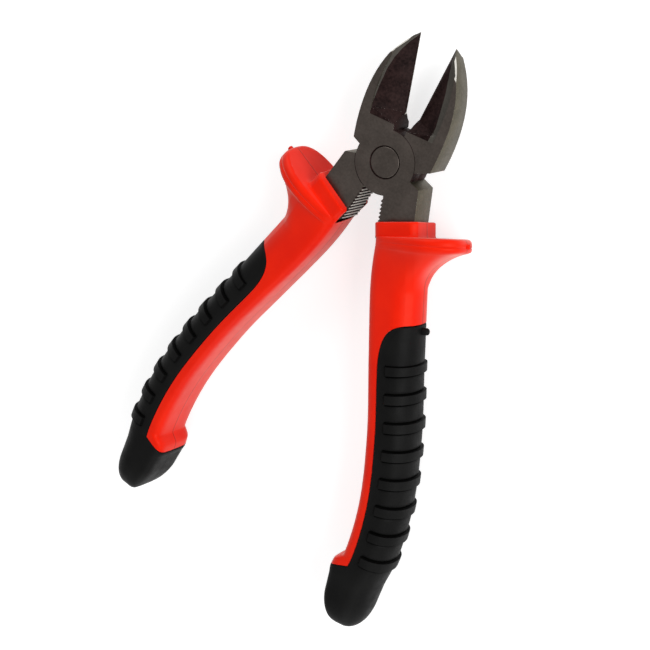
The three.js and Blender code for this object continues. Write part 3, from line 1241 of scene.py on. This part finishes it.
    def _cut(
        self,
        section: Section,
        ends: Span,
        margins: list[float],
        columns: int,
        notch: bool = False,
    ) -> Run:
        """Cuts a stretch of a section at distances measured along it.

        Args:
            section: The section.
            ends: The angles where it starts and ends.
            margins: Set distances from both ends.
            columns: How many even steps lie between the set distances.
            notch: Whether the middle keeps the columns of the collar's notch.

        Returns:
            The columns.
        """
        start, stop = ends
        count = self.samples
        points = [
            section.point(start + (stop - start) * step / count) for step in range(count + 1)
        ]
        lengths = [0.0]
        for before, after in zip(points, points[1:]):
            lengths.append(lengths[-1] + math.dist(before, after))
        run, at = Run([], []), 0
        turn = 1 if stop < start else -1
        for place in self._places(lengths[-1], margins, columns, notch):
            while at < count - 1 and lengths[at + 1] < place:
                at += 1
            step = max(1e-9, lengths[at + 1] - lengths[at])
            share = clamped((place - lengths[at]) / step)
            a, b = points[at], points[at + 1]
            run.points.append((a[0] + (b[0] - a[0]) * share, a[1] + (b[1] - a[1]) * share))
            before, after = points[max(0, at - 1)], points[min(count, at + 2)]
            tangent = Vector((after[0] - before[0], after[1] - before[1])).normalized()
            run.normals.append((-tangent.y * turn, tangent.x * turn))
        return run

    def _walled(self, run: Run) -> Run:
        """Adds a wall that turns in at both ends of a stretch, behind a rounded edge.

        Args:
            run: The stretch's columns.

        Returns:
            The columns with the walls.
        """

        def sunk(end: int, depth: float) -> Span:
            """Returns the stretch's first or last point, moved in by a depth."""
            point, normal = run.points[end], run.normals[end]
            return point[0] - normal[0] * depth, point[1] - normal[1] * depth

        rounded = [sunk(0, self.seam_round), *run.points[1:-1], sunk(-1, self.seam_round)]
        points = [sunk(0, self.wall), *rounded, sunk(-1, self.wall)]
        return Run(points, [run.normals[0], *run.normals, run.normals[-1]])


@dataclass
class Skin:
    """A mesh put together from rings of points in the drawing."""

    side: Side
    crease: float = 50.0
    mesh: bmesh.types.BMesh = field(default_factory=bmesh.new)

    def ring(self, points: list[Vector]) -> list[bmesh.types.BMVert]:
        """Adds a row of points.

        Args:
            points: The points in the drawing.

        Returns:
            Their vertices.
        """
        return [self.mesh.verts.new(self.side.place(point)) for point in points]

    def strip(self, first: Row, second: Row, closed: bool, skip: tuple[int, int] = (0, 0)) -> None:
        """Joins two rows by faces.

        Args:
            first: The row nearer to the collar.
            second: The next row.
            closed: Whether the last column joins the first.
            skip: The columns between which no face is made.
        """
        count = len(first)
        for column in range(count if closed else count - 1):
            if not skip[0] <= column < skip[1]:
                after = (column + 1) % count
                self.mesh.faces.new((first[column], second[column], second[after], first[after]))

    def merge(self) -> None:
        """Joins the points that lie on each other."""
        bmesh.ops.remove_doubles(self.mesh, verts=self.mesh.verts, dist=MERGE)

    def finish(self, name: str, *materials: bpy.types.Material) -> bpy.types.Object:
        """Turns the mesh into an object that rides on its side's body.

        Args:
            name: The object's name.
            materials: Its materials, by the faces' numbers.

        Returns:
            The object.
        """
        piece = make_piece(self.mesh, name, materials, self.crease)
        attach(piece, self.side.body)
        return piece


@dataclass
class Handle:
    """One handle: hard sleeve, soft grip and the two moulding gates."""

    side: Side
    form: HandleForm
    plastic: bpy.types.Material
    rubber: bpy.types.Material
    shade: bpy.types.Material

    def _raised(
        self,
        section: Section,
        run: Run,
        at: list[float] | None = None,
        lift: list[float] | None = None,
    ) -> list[Vector]:
        """Sets a run of columns on the spine.

        Args:
            section: The section that the run was cut from.
            run: The columns.
            at: Each column's distance along the spine, or the section's own for all.
            lift: How far each column is raised from the section, or nothing.

        Returns:
            The points in the drawing.
        """
        count = len(run.points)
        at, lift = at or [section.at] * count, lift or [0.0] * count
        made = []
        for (across, height), normal, distance, rise in zip(run.points, run.normals, at, lift):
            droop = section.droop * (across / section.outer) ** 2 if across > 0 else 0.0
            leaned = section.slant * height + section.lean * across
            place = (across + normal[0] * rise, height + normal[1] * rise)
            made.append(self.form.spine.beside(distance, *place, droop - leaned))
        return made

    def _skewed(self, run: Run, distance: float) -> list[float]:
        """Gives the columns' distances, with the seam under the lip a little lower inside.

        Args:
            run: The columns.
            distance: The ring's own distance.

        Returns:
            The distances along the spine.
        """
        form = self.form
        drop = form.lip_drop * eased(1 - abs(distance - form.lip_line) / form.lip_skew)
        span = form.grip_width + form.lip_reach - form.seam_offset
        return [
            distance + drop * clamped((-across - form.seam_offset) / span)
            for across, _ in run.points
        ]

    def _turned_in(self, skin: Skin, row: Row, distance: float) -> list[bmesh.types.BMVert]:
        """Adds the inner edge of the wall that turns in at a seam.

        Args:
            skin: The skin that the seam bounds.
            row: The seam's vertices.
            distance: Their distance along the spine.

        Returns:
            The new vertices.
        """
        centre = self.side.place(self.form.spine.beside(distance, 0, 0))
        depth = self.form.wall * MM
        return [skin.mesh.verts.new(v.co + (centre - v.co).normalized() * depth) for v in row]

    def _sleeve_top(self, skin: Skin) -> tuple[list[bmesh.types.BMVert], int]:
        """Adds the sleeve's closed rings: collar, guard and neck.

        Args:
            skin: The sleeve's skin.

        Returns:
            The last ring, and how many of its columns are on the inner side.
        """
        form = self.form
        sections = form.collar_sections() + form.guard_sections()
        start = sections[-1].at
        for row in range(1, form.neck_rows + 1):
            at = start + (form.grip_top - start) * row / form.neck_rows
            sections.append(form.body_section(at))
        last: list[bmesh.types.BMVert] = []
        for section in sections:
            inner = form.inner_run(section, form.shoulder(section))
            outer = form.outer_run(section, form.shoulder(section))
            rest = self._raised(section, outer)[-2:0:-1]
            ring = skin.ring(self._raised(section, inner) + rest)
            if last:
                middle = (len(inner.points) - 1) // 2
                notched = 0 < section.at <= form.notch_end
                skin.strip(last, ring, True, (middle - 2, middle + 2) if notched else (0, 0))
            last = ring
        return last, len(inner.points)

    def sleeve(self) -> bpy.types.Object:
        """Builds the red sleeve.

        Returns:
            The sleeve's object.
        """
        form, skin = self.form, Skin(self.side)
        ring, width = self._sleeve_top(skin)
        ledge = ring[width - 1 :] + ring[:1]
        skin.strip(ledge, self._turned_in(skin, ledge, form.grip_top), False)
        last = ring[:width]
        for distance in [form.grip_top + form.seam_start, *form.grip_stations()]:
            section = form.end_section(distance)
            inner = form.inner_run(section, form.seam_across(distance) - form.seam_gap / 2)
            row = skin.ring(self._raised(section, inner, self._skewed(inner, distance)))
            skin.strip(last, row, False)
            for end in (0, -1):
                seam = [last[end], row[end]]
                deep = self._turned_in(skin, seam, distance)
                sides = (deep, seam) if end == 0 else (seam, deep)
                skin.strip(*zip(*sides), False)
            last = row
        skin.strip(last, self._turned_in(skin, last, form.lip_line), False)
        skin.merge()
        piece = skin.finish(f"{self.side.label}_sleeve_skin", self.plastic)
        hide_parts(f"{self.side.label}_sleeve")
        return piece

    def grip(self) -> bpy.types.Object:
        """Builds the black grip with its ribs and end cap.

        Returns:
            The grip's object.
        """
        form, skin = self.form, Skin(self.side)
        raised = skin.mesh.verts.layers.float.new("raised")
        top, *others = form.grip_stations()
        rows = [(top, -form.wall), (top, -form.seam_round), *((other, 0.0) for other in others)]
        last: list[bmesh.types.BMVert] = []
        for distance, sink in rows:
            section = form.end_section(distance)
            outer = form.outer_run(section, form.seam_across(distance) + form.seam_gap / 2, True)
            rise = form.rib_height * form.rib_weight(distance)
            rise -= form.rib_groove * form.groove_weight(distance)
            lift = form.rib_lift(len(outer.points), rise, form.rib_flat + 1)
            row = skin.ring(self._raised(section, outer, lift=[sink + own for own in lift]))
            for vertex, own in zip(row, lift):
                vertex[raised] = own
            if last:
                skin.strip(last[::-1], row[::-1], False)
            last = row
        self._cap(skin, last)
        skin.merge()
        # Faces on the ribs' walls and grooves get the darker rubber, as painted shade round each
        # rib.
        for face in skin.mesh.faces:
            lifts = [vertex[raised] for vertex in face.verts]
            face.material_index = int(max(lifts) - min(lifts) > form.rib_height * form.rib_wall)
        piece = skin.finish(f"{self.side.label}_grip_skin", self.rubber, self.shade)
        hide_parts(f"{self.side.label}_grip")
        return piece

    def _cap(self, skin: Skin, above: list[bmesh.types.BMVert]) -> None:
        """Adds the closed end of the grip below the lip.

        Args:
            skin: The grip's skin.
            above: The last row of the open part.
        """
        form = self.form
        length = form.spine.length
        places = [form.lip_line + row for row in form.cap_rows]
        start = max(places[-1] + form.cap_gap, length - form.cap_length)
        for step in range(form.cap_steps):
            turn = step / form.cap_steps * math.pi / 2
            places.append(start + (length - start) * math.sin(turn))
        sinks = [-form.wall, -form.seam_round] + [0.0] * (len(places) - 2)
        last: list[bmesh.types.BMVert] = []
        for distance, sink in zip(places, sinks):
            section = form.end_section(distance)
            across = -form.seam_offset * section.inner / (form.grip_width + form.lip_reach)
            inner = form.inner_run(section, across)
            outer = form.outer_run(section, across)
            width = len(inner.points)
            rise = form.rib_height * form.rib_weight(distance)
            lift = form.rib_lift(len(outer.points), rise, form.rib_flat)
            points = self._raised(section, inner, self._skewed(inner, distance), [sink] * width)
            row = skin.ring(points + self._raised(section, outer, lift=lift)[-2:0:-1])
            if last:
                skin.strip(last, row, True)
            else:
                skin.strip(above[-2:0:-1], row[width - 1 :] + row[:1], False)
            last = row
        skin.mesh.faces.new(last[::-1])

    def gates(self) -> list[bpy.types.Object]:
        """Builds the two small moulding gates on the outer side.

        Returns:
            Their objects.
        """
        form = self.form
        lifted = form.collar_height + form.guard_rim / 2 - form.collar_lean * form.guard_reach
        guard = (lifted, form.guard_reach - form.gate_root, *form.guard_gate)
        stub = form.right_stub if self.side is Side.RIGHT else form.left_stub
        along, across = form.grip_top + form.grip_gate_at, form.grip_width - form.gate_root
        grip = (along, across, form.grip_gate, stub)
        return [
            self._gate("guard_gate", guard, self.plastic),
            self._gate("grip_gate", grip, self.rubber),
        ]

    def _gate(
        self,
        name: str,
        sizes: tuple[float, float, float, float],
        material: bpy.types.Material,
    ) -> bpy.types.Object:
        """Builds one gate: a short round nub with a rounded end.

        Args:
            name: Its name, without the side.
            sizes: Its distance along and across the spine, its radius and its length.
            material: Its material.

        Returns:
            The object.
        """
        along, across, radius, length = sizes
        form, skin = self.form, Skin(self.side)
        base = form.spine.beside(along, across, 0)
        outward = (form.spine.beside(along, across + 1, 0) - base).normalized()
        sidewise = outward.cross(UPWARD)
        profile = skin.ring(
            [
                base + outward * reach * length + sidewise * radius * size
                for reach, size in form.gate_rows
            ]
        )
        centre = self.side.place(base)
        axis = (self.side.place(base + outward) - centre).normalized()
        turn_profile(skin.mesh, profile, centre, axis, form.gate_sides)
        tip = []
        for edge in skin.mesh.edges:
            if edge.is_boundary and (edge.verts[0].co - centre).dot(axis) > length * MM / 2:
                tip.append(edge)
        bmesh.ops.edgeloop_fill(skin.mesh, edges=tip)
        bmesh.ops.recalc_face_normals(skin.mesh, faces=skin.mesh.faces)
        piece = skin.finish(f"{self.side.label}_{name}", material)
        return piece

    def build(self) -> list[bpy.types.Object]:
        """Builds the whole handle.

        Returns:
            Its pieces.
        """
        return [self.sleeve(), self.grip(), *self.gates()]


@dataclass
class Forging:
    """A steel lever: the solid's own faces, merged, with its edges eased and its finishes set."""

    side: Side
    steels: dict[Ground, bpy.types.Material]
    edge: float = 0.15
    edge_angle: float = 24.0
    crease: float = 32.0
    merge: float = 2e-6
    flat_angle: float = 0.6
    cut: float = 1e-7
    teeth: int = 10
    tooth_top: float = 9.3
    tooth_end: float = 20.0
    tooth_reach: float = 4.0
    tooth_near: float = 0.6
    tooth_slack: float = 0.5
    tooth_steep: float = 0.5
    groove: float = 0.48
    tooth_tip: float = 0.72
    # Parts of a direction's length: from where a face counts as flat, level, facing or upright.
    flat: float = 0.985
    level: float = 0.97
    facing: float = 0.8
    upright: float = 0.2
    jaw_foot: float = 9.0
    grind_foot: float = 14.0
    nose: float = 24.0
    nose_lean: float = 0.4
    gap_foot: float = 8.0
    gap_reach: float = 3.0
    honed_foot: float = 13.0
    honed_reach: float = 0.4
    honed_facing: float = 0.9
    hole: float = 5.5
    disc: float = 9.15

    def build(self) -> bpy.types.Object:
        """Builds the piece from the solid that it stands for.

        Returns:
            The object.
        """
        mesh = bmesh.new()
        mesh.from_mesh(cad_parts[self.side.lever].data)
        bmesh.ops.remove_doubles(mesh, verts=mesh.verts, dist=self.merge)
        bmesh.ops.dissolve_limit(
            mesh,
            angle_limit=math.radians(self.flat_angle),
            verts=mesh.verts,
            edges=mesh.edges,
        )
        self._groove(mesh)
        self._border(mesh)
        for face in mesh.faces:
            centre = self.side.closed(face.calc_center_median())
            self._paint(face, self._ground(centre, self.side.turn.transposed() @ face.normal))
        self._ease(mesh)
        materials = [self.steels[ground] for ground in Ground]
        piece = make_piece(mesh, f"{self.side.lever}_steel", materials, self.crease)
        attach(piece, self.side.body)
        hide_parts(self.side.lever)
        return piece

    @staticmethod
    def _paint(face: bmesh.types.BMFace, ground: Ground) -> None:
        """Gives a face a finish."""
        face.material_index = list(Ground).index(ground)

    def _bisect(
        self, mesh: bmesh.types.BMesh, faces: list[bmesh.types.BMFace], place: Vector, way: Vector
    ) -> None:
        """Cuts some faces along a plane.

        Args:
            mesh: The lever's mesh.
            faces: The faces.
            place: A point of the plane in the closed tool, in millimetres.
            way: The plane's direction there.
        """
        turn = self.side.turn
        parts = {item for face in faces for item in (face, *face.edges, *face.verts)}
        bmesh.ops.bisect_plane(
            mesh,
            geom=list(parts),
            plane_co=turn @ place * MM,
            plane_no=turn @ way,
            dist=self.cut,
        )

    def _groove(self, mesh: bmesh.types.BMesh) -> None:
        """Cuts each tooth's slope along its middle, so that its root can be painted dark as shade
        and its tip bright as a painted highlight.

        Args:
            mesh: The lever's mesh.
        """
        pitch = (self.tooth_end - self.tooth_top) / self.teeth
        for tooth in range(self.teeth):
            level = -self.tooth_top - (tooth + self.groove) * pitch
            slope = [face for face in mesh.faces if self._is_tooth(face, level)]
            self._bisect(mesh, slope, Vector((0, level, 0)), Vector((0, 1, 0)))

    def _is_tooth(self, face: bmesh.types.BMFace, level: float) -> bool:
        """Tells whether a face is the slope of the tooth at a level.

        Args:
            face: The face.
            level: The level along the closed tool, in millimetres.

        Returns:
            Whether it is.
        """
        centre = self.side.closed(face.calc_center_median())
        near = abs(centre.x) < self.tooth_reach and abs(centre.y - level) < self.tooth_near
        return near and abs(face.normal.z) < self.tooth_steep

    @property
    def border(self) -> tuple[Span, ...]:
        """Gives the line up to which the jaw's bevel is ground dark.

        Returns:
            The line's points in the closed tool, from its foot to the tip.
        """
        if self.side is Side.RIGHT:
            return (
                (-7.9, 12.0),
                (-7.0, 18.7),
                (-6.1, 23.4),
                (-5.0, 26.6),
                (-3.5, 29.6),
                (-0.5, 34.3),
            )
        return ((7.3, 11.0), (6.6, 15.5), (5.6, 18.6), (4.0, 23.6), (1.9, 28.2), (-0.9, 34.4))

    def _border(self, mesh: bmesh.types.BMesh) -> None:
        """Cuts the jaw's bevel along the border of its dark grinding.

        Args:
            mesh: The lever's mesh.
        """
        for start, end in zip(self.border, self.border[1:]):
            bevel = []
            for face in mesh.faces:
                levels = [self.side.closed(vertex.co).y for vertex in face.verts]
                beside = min(levels) <= end[1] and max(levels) >= start[1]
                if beside and self.upright < abs(face.normal.z) < self.level:
                    bevel.append(face)
            run = Vector((end[0] - start[0], end[1] - start[1], 0)).normalized()
            self._bisect(mesh, bevel, Vector((*start, 0)), Vector((run.y, -run.x, 0)))

    def _beyond(self, centre: Vector) -> bool:
        """Tells whether a place lies outside the border of the dark grinding.

        Args:
            centre: The place in the closed tool, in millimetres.

        Returns:
            Whether it does.
        """
        for start, end in zip(self.border, self.border[1:]):
            if start[1] <= centre.y <= end[1]:
                share = (centre.y - start[1]) / (end[1] - start[1])
                line = start[0] + (end[0] - start[0]) * share
                return (centre.x - line) * self.side.value < 0
        return False

    def _is_flank(self, centre: Vector, normal: Vector) -> bool:
        """Tells whether an eased edge lies flat on the jaw, outside the dark grinding."""
        flat = centre.y > self.grind_foot and abs(normal.z) > self.facing
        return flat and self._beyond(centre)

    def _ease(self, mesh: bmesh.types.BMesh) -> None:
        """Rounds the piece's sharp edges and gives the new faces their finish.

        Args:
            mesh: The lever's mesh.
        """
        limit = math.radians(self.edge_angle)
        result = bmesh.ops.bevel(
            mesh,
            geom=[e for e in mesh.edges if len(e.link_faces) == 2 and e.calc_face_angle(0) > limit],
            offset=self.edge * MM,
            offset_type="OFFSET",
            segments=2,
            profile=0.5,
            affect="EDGES",
            clamp_overlap=True,
            material=-1,
        )
        for face in result["faces"]:
            centre = self.side.closed(face.calc_center_median())
            radius = centre.xy.length
            shank = -self.tooth_end < centre.y < -self.tooth_top
            if shank and abs(centre.x) < self.tooth_reach:
                ground = self._ground(centre, Vector((1, 0, 0)))
            elif self._is_flank(centre, face.normal):
                ground = Ground.FLANK
            # Eased edges round the rivet hole get the dark finish as painted shade in the gap.
            elif radius < self.hole:
                ground = Ground.BEVEL
            else:
                # Eased edges outside the disc get the bright finish as a painted highlight.
                ground = Ground.FACE if radius < self.disc else Ground.EDGE
            self._paint(face, ground)

    def _ground(self, centre: Vector, normal: Vector) -> Ground:
        """Gives the finish of one face of the closed lever.

        Args:
            centre: The face's centre in the closed tool, in millimetres.
            normal: Its direction there.

        Returns:
            The finish.
        """
        tilt = abs(normal.z)
        inward = normal.x * self.side.value
        if tilt > self.flat:
            return Ground.FACE
        if centre.y > self.jaw_foot and tilt > self.upright:
            # The jaw's nose chamfer gets the bright finish as a painted highlight.
            if normal.y > self.nose_lean and centre.y > self.nose:
                return Ground.EDGE
            return Ground.FLANK if self._beyond(centre) else Ground.BEVEL
        # Inner walls of the throat get the dark finish as painted shade; the narrow honed facet
        # gets the bright finish as a painted highlight.
        if centre.y > self.gap_foot and abs(centre.x) < self.gap_reach and inward > 0:
            honed = abs(centre.x) < self.honed_reach and inward > self.honed_facing
            return Ground.EDGE if honed and centre.y > self.honed_foot else Ground.BEVEL
        # Round walls in the disc, at the rivet hole and the disc's seam, get the dark finish as
        # painted shade in the gaps.
        round_wall = abs(centre.xy.normalized().dot(normal.xy)) > self.facing
        if centre.xy.length < self.disc and round_wall:
            return Ground.BEVEL
        shank = -self.tooth_end - self.tooth_slack < centre.y < -self.tooth_top
        # Tooth roots get the dark finish as painted shade, and tooth crests the bright finish as a
        # painted highlight.
        if shank and abs(centre.x) < self.tooth_reach:
            pitch = (self.tooth_end - self.tooth_top) / self.teeth
            along = (-centre.y - self.tooth_top) / pitch % 1
            return Ground.EDGE if self.groove <= along <= self.tooth_tip else Ground.BEVEL
        return Ground.SIDE


@dataclass
class Rivet:
    """The flush rivet: two slightly dished heads with rounded rims."""

    steels: dict[Ground, bpy.types.Material]
    radius: float = 4.16
    shaft: float = 3.5
    half: float = 4.3
    sunk: float = 0.02
    rim: float = 0.34
    rim_steps: int = 5
    dish: float = 0.05
    # Where the dish ends: the share of the radius, and the depth there.
    flat: Span = (0.75, 0.03)
    head: float = 0.8
    flare: float = 1.5
    sides: int = 96
    crease: float = 40.0
    wall: float = 0.3

    def build(self) -> bpy.types.Object:
        """Turns the rivet's profile about the pivot.

        Returns:
            The object.
        """
        mesh = bmesh.new()
        top = self.half - self.sunk
        upper = [(0.0, top - self.dish), (self.radius * self.flat[0], self.half - self.flat[1])]
        for step in range(self.rim_steps + 1):
            turn = step / self.rim_steps * math.pi / 2
            out = self.radius - self.rim + self.rim * math.sin(turn)
            upper.append((out, top - self.rim + self.rim * math.cos(turn)))
        upper += [(self.radius, self.half - self.head), (self.shaft, self.half - self.flare)]
        profile = upper + [(out, -height) for out, height in reversed(upper)]
        verts = [mesh.verts.new(Vector((out, 0, z + PIVOT_HEIGHT)) * MM) for out, z in profile]
        turn_profile(mesh, verts, Vector(), UPWARD, self.sides)
        bmesh.ops.remove_doubles(mesh, verts=mesh.verts, dist=MERGE / 10)
        bmesh.ops.recalc_face_normals(mesh, faces=mesh.faces)
        order = list(Ground)
        for face in mesh.faces:
            # The heads' steep walls in the gap round them get the dark finish as painted shade; the
            # flat and rounded tops keep the face finish.
            ground = Ground.FACE if abs(face.normal.z) > self.wall else Ground.BEVEL
            face.material_index = order.index(ground)
        materials = [self.steels[ground] for ground in Ground]
        piece = make_piece(mesh, "pivot_rivet_steel", materials, self.crease)
        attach(piece, Side.RIGHT.body)
        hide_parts("pivot_rivet")
        return piece


@dataclass(frozen=True)
class Lamp:
    """A soft rectangular lamp."""

    name: str
    place: tuple[float, float, float]
    size: float
    power: float


@dataclass
class Studio:
    """Floor, lamps, surroundings and camera."""

    floor_height: float = -5.02
    floor_size: float = 6.0
    floor_grey: float = 0.60
    floor_lift: Span = (0.68, 1.2)
    floor_fade: Span = (0.3, 1.0)
    sky: float = 0.22
    camera_place: tuple[float, float, float] = (190.47, 136.89, 448.27)
    right: tuple[float, float, float] = (0.80025, 0.34630, -0.48955)
    up: tuple[float, float, float] = (-0.47303, 0.86631, -0.16042)
    toward: tuple[float, float, float] = (0.36854, 0.35995, 0.85709)
    lens: float = 106.28
    sensor: float = 36.0
    lamps: tuple[Lamp, ...] = (
        Lamp("key", (0.95, 0.30, 0.55), 0.9, 12.0),
        Lamp("fill", (-0.55, 0.90, 0.5), 0.9, 9.0),
        Lamp("low", (0.45, -0.95, 0.4), 0.9, 4.5),
    )

    def floor(self) -> bpy.types.Object:
        """Lays the pale floor under the tool.

        Returns:
            The floor.
        """
        mesh = bmesh.new()
        bmesh.ops.create_grid(mesh, x_segments=8, y_segments=8, size=self.floor_size / 2)
        nodes = Nodes("pale_floor")
        grey = self.floor_grey
        nodes.feed("Base Color", nodes.tint(nodes.noise(3, 2), (grey,) * 3, (grey + 0.01,) * 3))
        nodes.fix({"Roughness": 0.9, "Specular IOR Level": 0.1, "Emission Color": (1, 1, 1)})
        distance = nodes.add("VectorMath", operation="LENGTH")
        nodes.link(nodes.coords, distance.inputs[0])
        glow = nodes.span(distance.outputs["Value"], self.floor_fade, self.floor_lift)
        nodes.feed("Emission Strength", nodes.maths("MULTIPLY", backdrop_rays(nodes.tree), glow))
        floor = make_piece(mesh, "floor", [nodes.material], crease=30.0)
        floor.location.z = self.floor_height * MM
        return floor

    def light(self) -> None:
        """Sets up the lamps and the surroundings."""
        for lamp in self.lamps:
            data = bpy.data.lights.new(lamp.name, "AREA")
            data.size = lamp.size
            data.energy = lamp.power
            thing = bpy.data.objects.new(lamp.name, data)
            thing.location = lamp.place
            thing.rotation_euler = Vector(lamp.place).to_track_quat("Z", "Y").to_euler()
            bpy.context.scene.collection.objects.link(thing)
        world = bpy.data.worlds.new("surroundings")
        world.use_nodes = True
        tree = world.node_tree
        shade = tree.nodes["Background"]
        shade.inputs["Color"].default_value = (1, 1, 1, 1)
        level = tree.nodes.new("ShaderNodeMapRange")
        level.inputs["To Min"].default_value = self.sky
        level.inputs["To Max"].default_value = 1.0
        tree.links.new(backdrop_rays(tree), level.inputs["Value"])
        tree.links.new(level.outputs["Result"], shade.inputs["Strength"])
        bpy.context.scene.world = world
        bpy.context.scene.view_settings.view_transform = "Standard"

    def camera(self) -> None:
        """Sets up the camera at the photo's angle."""
        data = bpy.data.cameras.new("camera")
        data.sensor_fit = "HORIZONTAL"
        data.sensor_width = self.sensor
        data.lens = self.lens
        data.clip_start = 0.01
        thing = bpy.data.objects.new("camera", data)
        columns = Matrix((self.right, self.up, self.toward)).transposed().to_4x4()
        thing.matrix_world = Matrix.Translation(Vector(self.camera_place) * MM) @ columns
        bpy.context.scene.collection.objects.link(thing)
        bpy.context.scene.camera = thing

    def build(self) -> None:
        """Builds the whole studio."""
        self.floor()
        self.light()
        self.camera()


def main() -> None:
    """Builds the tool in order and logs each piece."""
    logging.basicConfig(level=logging.INFO, format="%(name)s: %(message)s")
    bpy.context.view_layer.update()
    steels = {steel.ground: steel.build() for steel in STEELS}
    plastic = Plastic().build()
    rubber = Rubber().build()
    shade = RIB_SIDE_SHADE.build()
    made: list[bpy.types.Object] = []
    for side in Side:
        made.append(Forging(side, steels).build())
    made.append(Rivet(steels).build())
    form = HandleForm()
    for side in Side:
        made += Handle(side, form, plastic, rubber, shade).build()
    for piece in made:
        LOG.info("%s: %d faces", piece.name, len(piece.data.polygons))
    Studio().build()
    bpy.context.view_layer.update()


if __name__ == "__main__":
    main()
